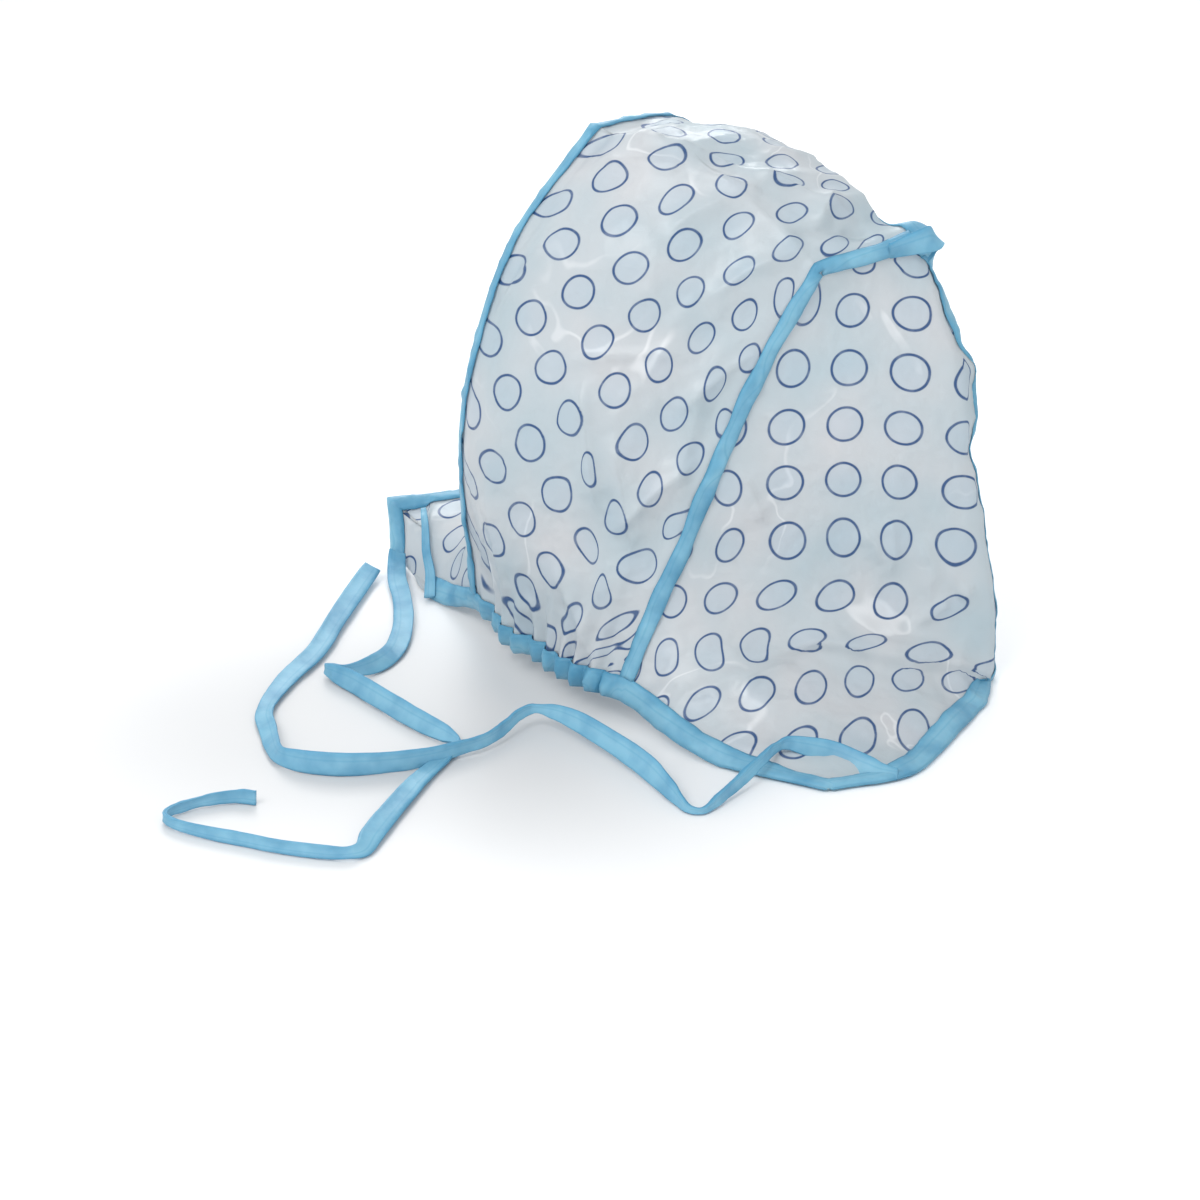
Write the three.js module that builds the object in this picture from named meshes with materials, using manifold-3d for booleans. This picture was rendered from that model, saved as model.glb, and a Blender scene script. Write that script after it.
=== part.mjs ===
// Hair highlighting cap: three panels of thin film, every edge and both seams bound with tape, two loose ties.
// Millimetres, +Z up. +X is the wearer's right, +Y is forward, out of the face opening. The cap stands on its
// neck edge, and Z = 0 is the surface that it stands on.
import * as THREE from "three";
import { mergeVertices } from "three/addons/utils/BufferGeometryUtils.js";
import Module from "manifold-3d";

const wasm = await Module();
wasm.setup();

// ---------------------------------------------------------------- sizes

const FILM_WALL = 1.0; // thickness of a film panel
const TAPE_WALL = 0.8; // thickness of one layer of tape
const GAP = 0.4; // clearance between a tape and the film that it holds
const TAPE_WIDTH = 8.0; // the tape as folded over an edge
const SEAM_TAPE_WIDTH = 8.0; // the tape over a seam
const SEAM_TAPE_INSET = 2.2; // from a seam tape's end to the binding that it runs under
const REST_HEIGHT = 1.3; // middle of the film above the surface where a binding lies on it
const SEAM_GAP = 0.6; // half of the slit between two panels under a seam tape
const ROWS_PER_STEP = 2; // facets between two rows of a table
const CROWN_COLUMNS = 32; // facets across the crown panel
const SIDE_COLUMNS = 13; // facets across a side panel
const NAPE_FOLDS = { count: 8, depth: 2.4, reach: 26 }; // gathers at the nape: how many, how deep, how far up
const TIE = { width: 8.0, thickness: 1.4, steps: 38 };
const GROUND = { width: 600, depth: 40 }; // the block below the surface, which flattens what rests on it

// Right side panel, a row for each height from the neck edge up to the turn of the seam at the crown.
// seam: on the seam with the crown panel, middle: half way, face: on the edge of the face opening.
const RIGHT_PANEL = [
  { seam: [28, -17, 10], middle: [73, -22, 4], face: [120, -9, 1.3] }, // neck edge, ends at the chin corner
  { seam: [30, -8, 31], middle: [79, 5, 17], face: [132, 20, 1.3] },
  { seam: [32, 0, 48], middle: [72, 38, 27], face: [119, 66, 1.3] }, // fold where the wall becomes the flap
  { seam: [34, 9, 64], middle: [66, 54, 46], face: [103, 110, 2] }, // lower corner of the face opening
  { seam: [36, 17, 82], middle: [67, 60, 72], face: [98, 112, 40] },
  { seam: [39, 25, 100], middle: [69, 64, 96], face: [94, 108, 74] },
  { seam: [43, 34, 119], middle: [69, 68, 120], face: [91, 105, 106] },
  { seam: [48, 43, 139], middle: [66, 73, 145], face: [80, 104, 142] },
  { seam: [55, 55, 161], middle: [64, 78, 166], face: [70, 98, 170] }, // seam runs forward to the forehead
];

// Left side panel, the same rows. Its flap stands up off the surface at the face edge.
const LEFT_PANEL = [
  { seam: [-79, 10, 9], middle: [-113, 18, 1.3], face: [-157, 34, 1.3] },
  { seam: [-76, 5, 33], middle: [-120, 34, 17], face: [-166, 40, 26] },
  { seam: [-73.5, 0, 50], middle: [-108, 52, 36], face: [-137, 82, 29] },
  { seam: [-71.5, -3, 67], middle: [-98, 60, 56], face: [-104, 124, 31] },
  { seam: [-68, -6, 85], middle: [-95, 60, 80], face: [-97, 127, 64] },
  { seam: [-65, -6, 104], middle: [-92, 60, 104], face: [-90, 125, 96] },
  { seam: [-61, -2, 128], middle: [-84, 62, 130], face: [-80, 121, 128] },
  { seam: [-54, 9, 162], middle: [-70, 66, 162], face: [-68, 117, 158] },
  { seam: [-42, 38, 201], middle: [-43, 76, 199], face: [-54, 112, 183] },
];

// How far the crown panel bellies out of the straight line between its seams, in the middle: one row for each
// row of the side panels, and three more for the stretch that runs forward to the forehead.
const CROWN_BELLY = [
  [0, -9, 0],
  [2, -15, 0],
  [3, -18, 0],
  [4, -20, 0],
  [5, -21, 0],
  [4, -20, 4],
  [3, -18, 10],
  [2, -13, 16],
  [0, -5, 16],
  [0, -2, 16],
  [0, 0, 15],
  [0, 3, 12],
];

// Ties: x and y of the middle of the tape, the height of its lower edge above the surface, and its lean:
// 0 lies flat, 90 stands on its edge.
const RIGHT_TIE = [
  { x: 117, y: -4, lift: 5, lean: -25 },
  { x: 112, y: -5, lift: 6, lean: -32 },
  { x: 106, y: -6.5, lift: 7, lean: -50 },
  { x: 101, y: -10, lift: 7.6, lean: -78 },
  { x: 98, y: -16, lift: 7.6, lean: -90 },
  { x: 97, y: -24, lift: 5.5, lean: -85 },
  { x: 98, y: -34, lift: 2, lean: -80 },
  { x: 103, y: -48, lift: 0.3, lean: -82 },
  { x: 106, y: -58, lift: 0, lean: -88 },
  { x: 104, y: -64, lift: 0, lean: -90 },
  { x: 97, y: -63, lift: 1, lean: -85 },
  { x: 86, y: -59, lift: 4, lean: -78 },
  { x: 71, y: -56, lift: 7, lean: -72 },
  { x: 53, y: -51, lift: 7, lean: -70 },
  { x: 33, y: -46, lift: 5, lean: -70 },
  { x: 17, y: -44, lift: 2.5, lean: -75 },
  { x: 9, y: -49, lift: 1.5, lean: -85 },
  { x: 10, y: -59, lift: 2, lean: -85 },
  { x: 13, y: -71, lift: 2.5, lean: -85 },
  { x: 13, y: -83, lift: 2.5, lean: -85 },
  { x: 8, y: -93, lift: 2.4, lean: -85 },
  { x: 1, y: -103, lift: 0.8, lean: -84 },
  { x: -9, y: -118, lift: 0, lean: -82 },
  { x: -23, y: -130, lift: 0, lean: -84 },
  { x: -36, y: -131, lift: 0, lean: -80 },
  { x: -49, y: -124, lift: 0, lean: -65 },
  { x: -64, y: -110, lift: 0, lean: -45 },
  { x: -75, y: -97, lift: 0, lean: -30 },
  { x: -93, y: -68, lift: 0, lean: -18 },
  { x: -124, y: -24, lift: 0, lean: -20 },
  { x: -150, y: 12, lift: 0, lean: -30 },
];

const LEFT_TIE = [
  { x: -151, y: 25.5, lift: 0.2, lean: -10 },
  { x: -143, y: 19, lift: 0.5, lean: -12 },
  { x: -129, y: 9, lift: 1, lean: -15 },
  { x: -111, y: -4, lift: 1, lean: -18 },
  { x: -95, y: -19, lift: 0.5, lean: -30 },
  { x: -83, y: -35, lift: 0, lean: -50 },
  { x: -79, y: -48, lift: 0, lean: -75 },
  { x: -83, y: -58, lift: 0, lean: -90 },
  { x: -85, y: -64, lift: 0, lean: -90 },
  { x: -80, y: -67, lift: 0, lean: -92 },
  { x: -71, y: -64, lift: 0, lean: -118 },
  { x: -52, y: -65, lift: 0, lean: -148 },
  { x: -32, y: -68, lift: 0, lean: -170 },
  { x: -13, y: -71, lift: 0, lean: -180 },
  { x: 3, y: -75, lift: 0, lean: -180 },
  { x: 17, y: -86, lift: 0, lean: -180 },
  { x: 17, y: -105, lift: 0, lean: -192 },
  { x: 25, y: -124, lift: 0, lean: -205 },
  { x: 36, y: -143, lift: 0, lean: -225 },
  { x: 45, y: -157, lift: 0, lean: -252 },
  { x: 43, y: -166, lift: 0, lean: -256 },
  { x: 34, y: -171, lift: 0, lean: -257 },
  { x: 16, y: -179, lift: 0, lean: -258 },
  { x: -3, y: -189, lift: 0, lean: -262 },
  { x: -13, y: -192, lift: 0, lean: -268 },
  { x: -20, y: -188, lift: 0, lean: -272 },
  { x: -22, y: -179, lift: 0, lean: -280 },
  { x: -18, y: -170, lift: 0.5, lean: -285 },
  { x: -7, y: -161, lift: 1.5, lean: -285 },
];

const film = { color: 0xd5dee2, roughness: 0.35, metalness: 0 };
const tape = { color: 0x74b9dd, roughness: 0.55, metalness: 0 };

// ---------------------------------------------------------------- small tools

const vec = (p) => new THREE.Vector3(...p);

function smoothCurve(points) {
  return new THREE.CatmullRomCurve3(points, false, "centripetal");
}

// The curve parameter at a length along a curve, by bisection on a table of its lengths.
function curveAtLength(point, from, to, length) {
  const pieces = 24;
  let last = point(from);
  let run = 0;
  for (let i = 1; i <= pieces; i++) {
    const t = from + ((to - from) * i) / pieces;
    const next = point(t);
    const step = next.distanceTo(last);
    if (run + step >= length) {
      const part = (length - run) / step;
      return from + ((to - from) * (i - 1 + part)) / pieces;
    }
    run += step;
    last = next;
  }
  return to;
}

// Closed solid from rings of points: ring[i][j], rings joined in order, first and last ring capped by `cap`.
// Where `crossed(i, j)` is true, the face between rings i and i + 1 is split along its other diagonal.
function sweptSolid(rings, cap, crossed = () => false) {
  const size = rings[0].length;
  const vertices = rings.flat().flatMap((p) => [p.x, p.y, p.z]);
  const faces = [];
  for (let i = 0; i + 1 < rings.length; i++) {
    for (let j = 0; j < size; j++) {
      const a = i * size + j;
      const b = i * size + ((j + 1) % size);
      if (crossed(i, j)) {
        faces.push(a, b, a + size, b, b + size, a + size);
      } else {
        faces.push(a, b, b + size, a, b + size, a + size);
      }
    }
  }
  const end = (rings.length - 1) * size;
  for (const [a, b, c] of cap) {
    faces.push(a, c, b);
    faces.push(end + a, end + b, end + c);
  }
  return outward(vertices, faces);
}

// Turns a closed mesh the right way round, by the sign of its volume.
function outward(vertices, faces) {
  let volume = 0;
  const corner = (i) => new THREE.Vector3(vertices[3 * i], vertices[3 * i + 1], vertices[3 * i + 2]);
  for (let i = 0; i < faces.length; i += 3) {
    volume += corner(faces[i]).dot(corner(faces[i + 1]).cross(corner(faces[i + 2])));
  }
  if (volume < 0) {
    for (let i = 0; i < faces.length; i += 3) {
      [faces[i], faces[i + 1]] = [faces[i + 1], faces[i]];
    }
  }
  const geometry = new THREE.BufferGeometry();
  geometry.setAttribute("position", new THREE.Float32BufferAttribute(vertices, 3));
  geometry.setIndex(faces);
  return geometry;
}

// ---------------------------------------------------------------- film panels

// A side panel as a surface: k runs over the rows of its table, d is a share of the row's length.
function sidePanelSurface(table) {
  const columns = ["seam", "middle", "face"].map((name) => smoothCurve(table.map((row) => vec(row[name]))));
  const last = table.length - 1;
  return (k) => smoothCurve(columns.map((column) => column.getPoint(k / last)));
}

const rightRow = sidePanelSurface(RIGHT_PANEL);
const leftRow = sidePanelSurface(LEFT_PANEL);
const LAST_ROW = RIGHT_PANEL.length - 1;
const CROWN_LAST_ROW = CROWN_BELLY.length - 1;
const FORWARD_ROWS = CROWN_LAST_ROW - LAST_ROW;
const bellyCurve = smoothCurve(CROWN_BELLY.map(vec));

// The point of a seam: up the back for k from 0 to LAST_ROW, then forward over the crown.
function seamPoint(row, k) {
  if (k <= LAST_ROW) {
    return row(k).getPoint(0);
  }
  return row(LAST_ROW).getPoint((k - LAST_ROW) / FORWARD_ROWS);
}

function crownRow(k) {
  const left = seamPoint(leftRow, k);
  const right = seamPoint(rightRow, k);
  const belly = bellyCurve.getPoint(k / CROWN_LAST_ROW);
  const control = left.clone().add(right).multiplyScalar(0.5).addScaledVector(belly, 2);
  return new THREE.QuadraticBezierCurve3(left, control, right);
}

// Shares of a row's length: the slit, the tape's width, even steps, and the same at the far end.
function rowShares(length, columns, startGap, endGap) {
  const first = TAPE_WIDTH / length;
  const shares = [startGap / length];
  for (let i = 0; i <= columns - 2; i++) {
    shares.push(first + ((1 - 2 * first) * i) / (columns - 2));
  }
  shares.push(1 - endGap / length);
  return shares;
}

// The film lies on the surface where it would sink below it.
function rested(point) {
  return new THREE.Vector3(point.x, point.y, Math.max(point.z, REST_HEIGHT));
}

// Grid of points: rows of k, with an extra row one tape width in from the first and the last edge.
function panelGrid(rowCurve, lastRow, columns, startGap, endGap) {
  const curveCache = new Map();
  const rowPoint = (k, j) => {
    if (!curveCache.has(k)) {
      const curve = rowCurve(k);
      const shares = rowShares(curve.getLength(), columns, startGap, endGap);
      curveCache.set(k, shares.map((share) => curve.getPointAt(share)));
    }
    return curveCache.get(k)[j];
  };
  const steps = [];
  for (let k = 1; k < lastRow; k += 1 / ROWS_PER_STEP) {
    steps.push(k);
  }
  const grid = [];
  for (let i = 0; i < steps.length + 4; i++) {
    grid.push([]);
  }
  for (let j = 0; j <= columns; j++) {
    const column = (k) => rowPoint(k, j);
    const low = curveAtLength(column, 0, 1, TAPE_WIDTH);
    const high = curveAtLength(column, lastRow, lastRow - 0.5, TAPE_WIDTH);
    const stations = [0, low, ...steps, high, lastRow];
    stations.forEach((k, i) => grid[i].push(rested(column(k))));
  }
  return grid;
}

function gridNormals(grid) {
  return grid.map((row, i) =>
    row.map((_, j) => {
      const above = grid[Math.min(i + 1, grid.length - 1)][j];
      const below = grid[Math.max(i - 1, 0)][j];
      const right = row[Math.min(j + 1, row.length - 1)];
      const left = row[Math.max(j - 1, 0)];
      const up = above.clone().sub(below);
      const across = right.clone().sub(left);
      return across.cross(up).normalize();
    })
  );
}

// A grid's wall, half a thickness to each side along its normals.
function wallSolid(grid, wall) {
  const normals = gridNormals(grid);
  const rows = grid.length;
  const columns = grid[0].length;
  const face = (side) =>
    grid.flatMap((row, i) => row.map((p, j) => p.clone().addScaledVector(normals[i][j], (side * wall) / 2)));
  const points = [...face(1), ...face(-1)];
  const under = rows * columns;
  const faces = [];
  for (let i = 0; i + 1 < rows; i++) {
    for (let j = 0; j + 1 < columns; j++) {
      const a = i * columns + j;
      const b = a + 1;
      const c = a + columns + 1;
      const d = a + columns;
      faces.push(a, b, c, a, c, d);
      faces.push(under + a, under + c, under + b, under + a, under + d, under + c);
    }
  }
  const rim = [];
  for (let j = 0; j + 1 < columns; j++) rim.push(j);
  for (let i = 0; i + 1 < rows; i++) rim.push(i * columns + columns - 1);
  for (let j = columns - 1; j > 0; j--) rim.push((rows - 1) * columns + j);
  for (let i = rows - 1; i > 0; i--) rim.push(i * columns);
  rim.forEach((a, i) => {
    const b = rim[(i + 1) % rim.length];
    faces.push(b, a, under + a, b, under + a, under + b);
  });
  return outward(points.flatMap((p) => [p.x, p.y, p.z]), faces);
}

// Gathers at the nape: the film waves in and out, most at the neck edge, and lies still at both seams.
function gatherNape(grid) {
  const normals = gridNormals(grid);
  const height = (i, j) => grid[i][j].distanceTo(grid[0][j]);
  const rise = grid.map((row, i) => row.map((_, j) => height(i, j)));
  grid.forEach((row, i) =>
    row.forEach((p, j) => {
      const across = j / (row.length - 1);
      const wave = Math.sin(2 * Math.PI * NAPE_FOLDS.count * across);
      const fade = Math.exp(-rise[i][j] / NAPE_FOLDS.reach) * Math.sin(Math.PI * across) ** 0.5;
      p.addScaledVector(normals[i][j], NAPE_FOLDS.depth * wave * fade);
    })
  );
}

const rightGrid = panelGrid(rightRow, LAST_ROW, SIDE_COLUMNS, SEAM_GAP, 0);
const leftGrid = panelGrid(leftRow, LAST_ROW, SIDE_COLUMNS, SEAM_GAP, 0);
const crownGrid = panelGrid(crownRow, CROWN_LAST_ROW, CROWN_COLUMNS, SEAM_GAP, SEAM_GAP);
gatherNape(crownGrid);

const group = new THREE.Group();

function addNode(name, geometry, finish) {
  const mesh = new THREE.Mesh(geometry, new THREE.MeshStandardMaterial(finish));
  mesh.name = name;
  group.add(mesh);
}

addNode("crown_panel", wallSolid(crownGrid, FILM_WALL), film);
addNode("right_side_panel", wallSolid(rightGrid, FILM_WALL), film);
addNode("left_side_panel", wallSolid(leftGrid, FILM_WALL), film);

// ---------------------------------------------------------------- bindings

// A station of an edge: the point on the edge, the point one tape width in from it, and the film's normal.
// `mirrored` says which diagonal the film's own facets take from here to the next station.
function station(grid, normals, edge, inner, sign, mirrored) {
  const [i, j] = edge;
  const [m, n] = inner;
  const normal = normals[i][j].clone().add(normals[m][n]).normalize().multiplyScalar(sign);
  return { edge: grid[i][j], inner: grid[m][n], normal, mirrored };
}

// One station in place of two that meet at a seam, its normal long enough to clear both panels.
function joined(a, b) {
  const normal = a.normal.clone().add(b.normal).normalize();
  return {
    edge: a.edge.clone().lerp(b.edge, 0.5),
    inner: a.inner.clone().lerp(b.inner, 0.5),
    normal: normal.multiplyScalar(1 / normal.dot(a.normal)),
    mirrored: b.mirrored,
  };
}

// Tape folded over an edge: a channel whose two legs lie along the film, clear of it by the gap.
function channelSolid(stations) {
  const inside = FILM_WALL / 2 + GAP;
  const outside = inside + TAPE_WALL;
  const rings = stations.map(({ edge, inner, normal }) => {
    const out = edge.clone().sub(inner).normalize();
    const at = (base, along, across) =>
      base.clone().addScaledVector(out, along).addScaledVector(normal, across);
    return [
      at(inner, 0, outside),
      at(edge, GAP + TAPE_WALL, outside),
      at(edge, GAP + TAPE_WALL, -outside),
      at(inner, 0, -outside),
      at(inner, 0, -inside),
      at(edge, GAP, -inside),
      at(edge, GAP, inside),
      at(inner, 0, inside),
    ];
  });
  const cap = [
    [0, 1, 6],
    [0, 6, 7],
    [1, 2, 5],
    [1, 5, 6],
    [2, 3, 4],
    [2, 4, 5],
  ];
  // Sides 0 and 4 run from the leg's end to the edge, sides 2 and 6 from the edge to the leg's end.
  const crossed = (i, j) => (stations[i].mirrored ? j === 0 || j === 4 : j === 2 || j === 6);
  return sweptSolid(rings, cap, crossed);
}

function toManifold(geometry) {
  const vertProperties = Float32Array.from(geometry.getAttribute("position").array);
  const triVerts = Uint32Array.from(geometry.index.array);
  return new wasm.Manifold(new wasm.Mesh({ numProp: 3, vertProperties, triVerts }));
}

function fromManifold(solid) {
  const mesh = solid.getMesh();
  const geometry = new THREE.BufferGeometry();
  geometry.setAttribute("position", new THREE.Float32BufferAttribute(mesh.vertProperties, 3));
  geometry.setIndex(Array.from(mesh.triVerts));
  return geometry;
}

// Flattens what would reach below the surface that the cap stands on.
function flattened(geometry) {
  const block = new THREE.BoxGeometry(GROUND.width, GROUND.width, GROUND.depth);
  block.translate(0, 0, -GROUND.depth / 2);
  block.deleteAttribute("normal");
  block.deleteAttribute("uv");
  const ground = toManifold(mergeVertices(block));
  return fromManifold(toManifold(geometry).subtract(ground));
}

const rightNormals = gridNormals(rightGrid);
const leftNormals = gridNormals(leftGrid);
const crownNormals = gridNormals(crownGrid);
const TOP = rightGrid.length - 1;
const CROWN_TOP = crownGrid.length - 1;

function faceStations() {
  const side = (grid, normals, sign, i) =>
    station(grid, normals, [i, SIDE_COLUMNS], [i, SIDE_COLUMNS - 1], sign, sign > 0);
  const forehead = (j) => station(crownGrid, crownNormals, [CROWN_TOP, j], [CROWN_TOP - 1, j], 1, false);
  const stations = [];
  for (let i = 0; i < TOP; i++) {
    stations.push(side(leftGrid, leftNormals, -1, i));
  }
  stations.push(joined(side(leftGrid, leftNormals, -1, TOP), forehead(0)));
  for (let j = 1; j < CROWN_COLUMNS; j++) {
    stations.push(forehead(j));
  }
  stations.push(joined(forehead(CROWN_COLUMNS), side(rightGrid, rightNormals, 1, TOP)));
  for (let i = TOP - 1; i >= 0; i--) {
    stations.push(side(rightGrid, rightNormals, 1, i));
  }
  return stations;
}

function neckStations() {
  const along = (grid, normals, sign, j) => station(grid, normals, [0, j], [1, j], sign, sign < 0);
  // The end at a chin corner stops short of the face binding by a gap.
  const chinEnd = (grid, normals, sign) => {
    const last = along(grid, normals, sign, SIDE_COLUMNS - 1);
    const before = along(grid, normals, sign, SIDE_COLUMNS - 2);
    const share = (2 * GAP) / last.edge.distanceTo(before.edge);
    return {
      edge: last.edge.clone().lerp(before.edge, share),
      inner: last.inner.clone().lerp(before.inner, share),
      normal: last.normal,
      mirrored: last.mirrored,
    };
  };
  const stations = [chinEnd(rightGrid, rightNormals, 1)];
  for (let j = SIDE_COLUMNS - 2; j > 0; j--) {
    stations.push(along(rightGrid, rightNormals, 1, j));
  }
  const nape = (j) => along(crownGrid, crownNormals, 1, j);
  stations.push(joined(along(rightGrid, rightNormals, 1, 0), nape(CROWN_COLUMNS)));
  for (let j = CROWN_COLUMNS - 1; j > 0; j--) {
    stations.push(nape(j));
  }
  stations.push(joined(nape(0), along(leftGrid, leftNormals, -1, 0)));
  for (let j = 1; j < SIDE_COLUMNS - 1; j++) {
    stations.push(along(leftGrid, leftNormals, -1, j));
  }
  stations.push(chinEnd(leftGrid, leftNormals, -1));
  return stations;
}

addNode("face_binding", flattened(channelSolid(faceStations())), tape);
addNode("neck_binding", flattened(channelSolid(neckStations())), tape);

// Tape over a seam: a strip that lies on both panels, from above the neck binding to short of the face binding.
function seamStrip(row, crownEnd) {
  const half = SEAM_TAPE_WIDTH / 2;
  const end = CROWN_LAST_ROW;
  const onCrown = (k, distance) => {
    const curve = crownRow(k);
    const share = distance / curve.getLength();
    return curve.getPointAt(crownEnd === "left" ? share : 1 - share);
  };
  const onSide = (k, distance) => {
    if (k < LAST_ROW) {
      const curve = row(k);
      return curve.getPointAt(distance / curve.getLength());
    }
    const share = (k - LAST_ROW) / FORWARD_ROWS;
    const column = (level) => row(level).getPoint(share);
    const inward = k === LAST_ROW ? row(LAST_ROW).getPointAt(distance / row(LAST_ROW).getLength()) : null;
    const down = column(curveAtLength(column, LAST_ROW, LAST_ROW - 0.5, distance));
    return inward ? down.add(inward).sub(column(LAST_ROW)) : down;
  };
  const alongSeam = (k) => seamPoint(row, Math.min(k + 0.05, end)).sub(seamPoint(row, Math.max(k - 0.05, 0)));
  const outwardNormal = (from, to, along) => {
    const normal = to.clone().sub(from).cross(along).normalize();
    return crownEnd === "left" ? normal : normal.negate();
  };
  const seam = (k) => seamPoint(row, k);
  const start = curveAtLength(seam, 0, 1, TAPE_WIDTH + SEAM_TAPE_INSET);
  const stop = curveAtLength(seam, end, end - 1, TAPE_WIDTH + SEAM_TAPE_INSET);
  const stations = [start];
  for (let k = 1; k < stop; k += 1 / ROWS_PER_STEP) {
    stations.push(k);
  }
  stations.push(stop);
  const inside = FILM_WALL / 2 + GAP;
  const outside = inside + TAPE_WALL;
  const rings = stations.map((k) => {
    const middle = seam(k);
    const crownSide = onCrown(k, half);
    const panelSide = onSide(k, half);
    const along = alongSeam(k);
    const crownNormal = outwardNormal(middle, crownSide, along);
    const panelNormal = outwardNormal(panelSide, middle, along);
    const ridge = crownNormal.clone().add(panelNormal).normalize();
    const reach = 1 / ridge.dot(crownNormal);
    return [
      crownSide.clone().addScaledVector(crownNormal, outside),
      middle.clone().addScaledVector(ridge, outside * reach),
      panelSide.clone().addScaledVector(panelNormal, outside),
      panelSide.clone().addScaledVector(panelNormal, inside),
      middle.clone().addScaledVector(ridge, inside * reach),
      crownSide.clone().addScaledVector(crownNormal, inside),
    ];
  });
  const cap = [
    [0, 1, 4],
    [0, 4, 5],
    [1, 2, 3],
    [1, 3, 4],
  ];
  return sweptSolid(rings, cap);
}

addNode("right_seam_binding", seamStrip(rightRow, "right"), tape);
addNode("left_seam_binding", seamStrip(leftRow, "left"), tape);

// ---------------------------------------------------------------- ties

// A flat tape along its route: its width turns with the lean, and its lower edge keeps its lift.
function tieSolid(route) {
  const path = smoothCurve(route.map((p) => new THREE.Vector3(p.x, p.y, 0)));
  const shape = smoothCurve(route.map((p) => new THREE.Vector3(p.lift, p.lean, 0)));
  const halfWidth = TIE.width / 2;
  const halfThick = TIE.thickness / 2;
  const section = [
    [1, 0.5],
    [0.92, 1],
    [-0.92, 1],
    [-1, 0.5],
    [-1, -0.5],
    [-0.92, -1],
    [0.92, -1],
    [1, -0.5],
  ];
  const up = new THREE.Vector3(0, 0, 1);
  const rings = [];
  for (let i = 0; i <= TIE.steps; i++) {
    const t = i / TIE.steps;
    const { x: lift, y: lean } = shape.getPoint(t);
    const angle = THREE.MathUtils.degToRad(lean);
    const drop = halfWidth * Math.abs(Math.sin(angle)) + halfThick * Math.abs(Math.cos(angle));
    const centre = path.getPoint(t);
    centre.z = Math.max(lift, 0.1) + drop;
    const along = path.getTangent(t);
    const side = up.clone().cross(along).normalize();
    const width = side.multiplyScalar(Math.cos(angle)).addScaledVector(up, Math.sin(angle));
    const thick = along.clone().cross(width).normalize();
    rings.push(
      section.map(([w, h]) =>
        centre.clone().addScaledVector(width, w * halfWidth).addScaledVector(thick, h * halfThick)
      )
    );
  }
  const cap = [];
  for (let j = 1; j + 1 < section.length; j++) {
    cap.push([0, j, j + 1]);
  }
  return sweptSolid(rings, cap);
}

addNode("right_tie", tieSolid(RIGHT_TIE), tape);
addNode("left_tie", tieSolid(LEFT_TIE), tape);

// The origin lies on the surface, in the middle of the cap's own box, its loose ties left out.
const capBox = new THREE.Box3();
for (const mesh of group.children) {
  if (!mesh.name.endsWith("_tie")) {
    capBox.expandByObject(mesh);
  }
}
const middle = capBox.getCenter(new THREE.Vector3());
group.position.set(-middle.x, -middle.y, -capBox.min.z);

export default group;
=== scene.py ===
import bmesh
import bpy
import numpy as np
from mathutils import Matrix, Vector, noise


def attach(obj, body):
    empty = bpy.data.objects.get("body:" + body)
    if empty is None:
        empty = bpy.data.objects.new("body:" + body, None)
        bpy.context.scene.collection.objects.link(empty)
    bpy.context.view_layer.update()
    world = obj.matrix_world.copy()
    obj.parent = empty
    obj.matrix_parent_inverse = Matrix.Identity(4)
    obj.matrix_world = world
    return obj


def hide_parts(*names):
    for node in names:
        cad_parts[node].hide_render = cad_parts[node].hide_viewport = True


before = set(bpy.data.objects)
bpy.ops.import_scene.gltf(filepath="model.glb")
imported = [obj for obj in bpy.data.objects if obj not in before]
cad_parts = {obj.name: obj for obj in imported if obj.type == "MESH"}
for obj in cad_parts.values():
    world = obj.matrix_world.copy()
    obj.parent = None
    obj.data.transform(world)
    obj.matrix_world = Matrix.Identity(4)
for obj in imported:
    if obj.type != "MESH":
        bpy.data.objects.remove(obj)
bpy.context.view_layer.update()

# -------------------- camera, floor and lights
# A small studio table: a card painted grey round the cap, a painted soft shadow that fades to white a
# little way off, one large soft box from behind the camera, a weaker one from beyond the cap, and a
# bright even room.

camera_data = bpy.data.cameras.new("camera")
camera_data.sensor_width = 36.0
camera_data.lens = 85.05
camera = bpy.data.objects.new("camera", camera_data)
camera.location = (0.7100, -0.7455, 0.4123)
toward = Vector((0.01687, -0.05235, 0.036)) - camera.location
camera.rotation_euler = toward.to_track_quat("-Z", "Y").to_euler()
bpy.context.scene.collection.objects.link(camera)
bpy.context.scene.camera = camera


def put(name, vertices, faces, uvs=None, smooth=True):
    """A mesh object at the origin, its place in its mesh. uvs has one (u, v) for each vertex."""
    mesh = bpy.data.meshes.new(name)
    mesh.from_pydata([tuple(map(float, v)) for v in vertices], [], [tuple(map(int, f)) for f in faces])
    if uvs is not None:
        layer = mesh.uv_layers.new(name="print")
        corners = np.empty(len(mesh.loops), dtype=np.int32)
        mesh.loops.foreach_get("vertex_index", corners)
        layer.data.foreach_set("uv", np.asarray(uvs, dtype=np.float32)[corners].ravel())
    mesh.polygons.foreach_set("use_smooth", [smooth] * len(mesh.polygons))
    mesh.update()
    piece = bpy.data.objects.new(name, mesh)
    bpy.context.scene.collection.objects.link(piece)
    return piece


def new_material(name):
    """A material without nodes, and a call that adds one to it."""
    material = bpy.data.materials.new(name)
    material.use_nodes = True
    tree = material.node_tree
    tree.nodes.clear()

    def add(kind, sockets=None, **settings):
        """A node. sockets gives its inputs by name or number, each a value or another node's output."""
        node = tree.nodes.new("ShaderNode" + kind)
        for key, value in settings.items():
            setattr(node, key, value)
        for key, value in (sockets or {}).items():
            if isinstance(value, bpy.types.NodeSocket):
                tree.links.new(value, node.inputs[key])
            else:
                node.inputs[key].default_value = value
        return node

    return material, add


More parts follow.
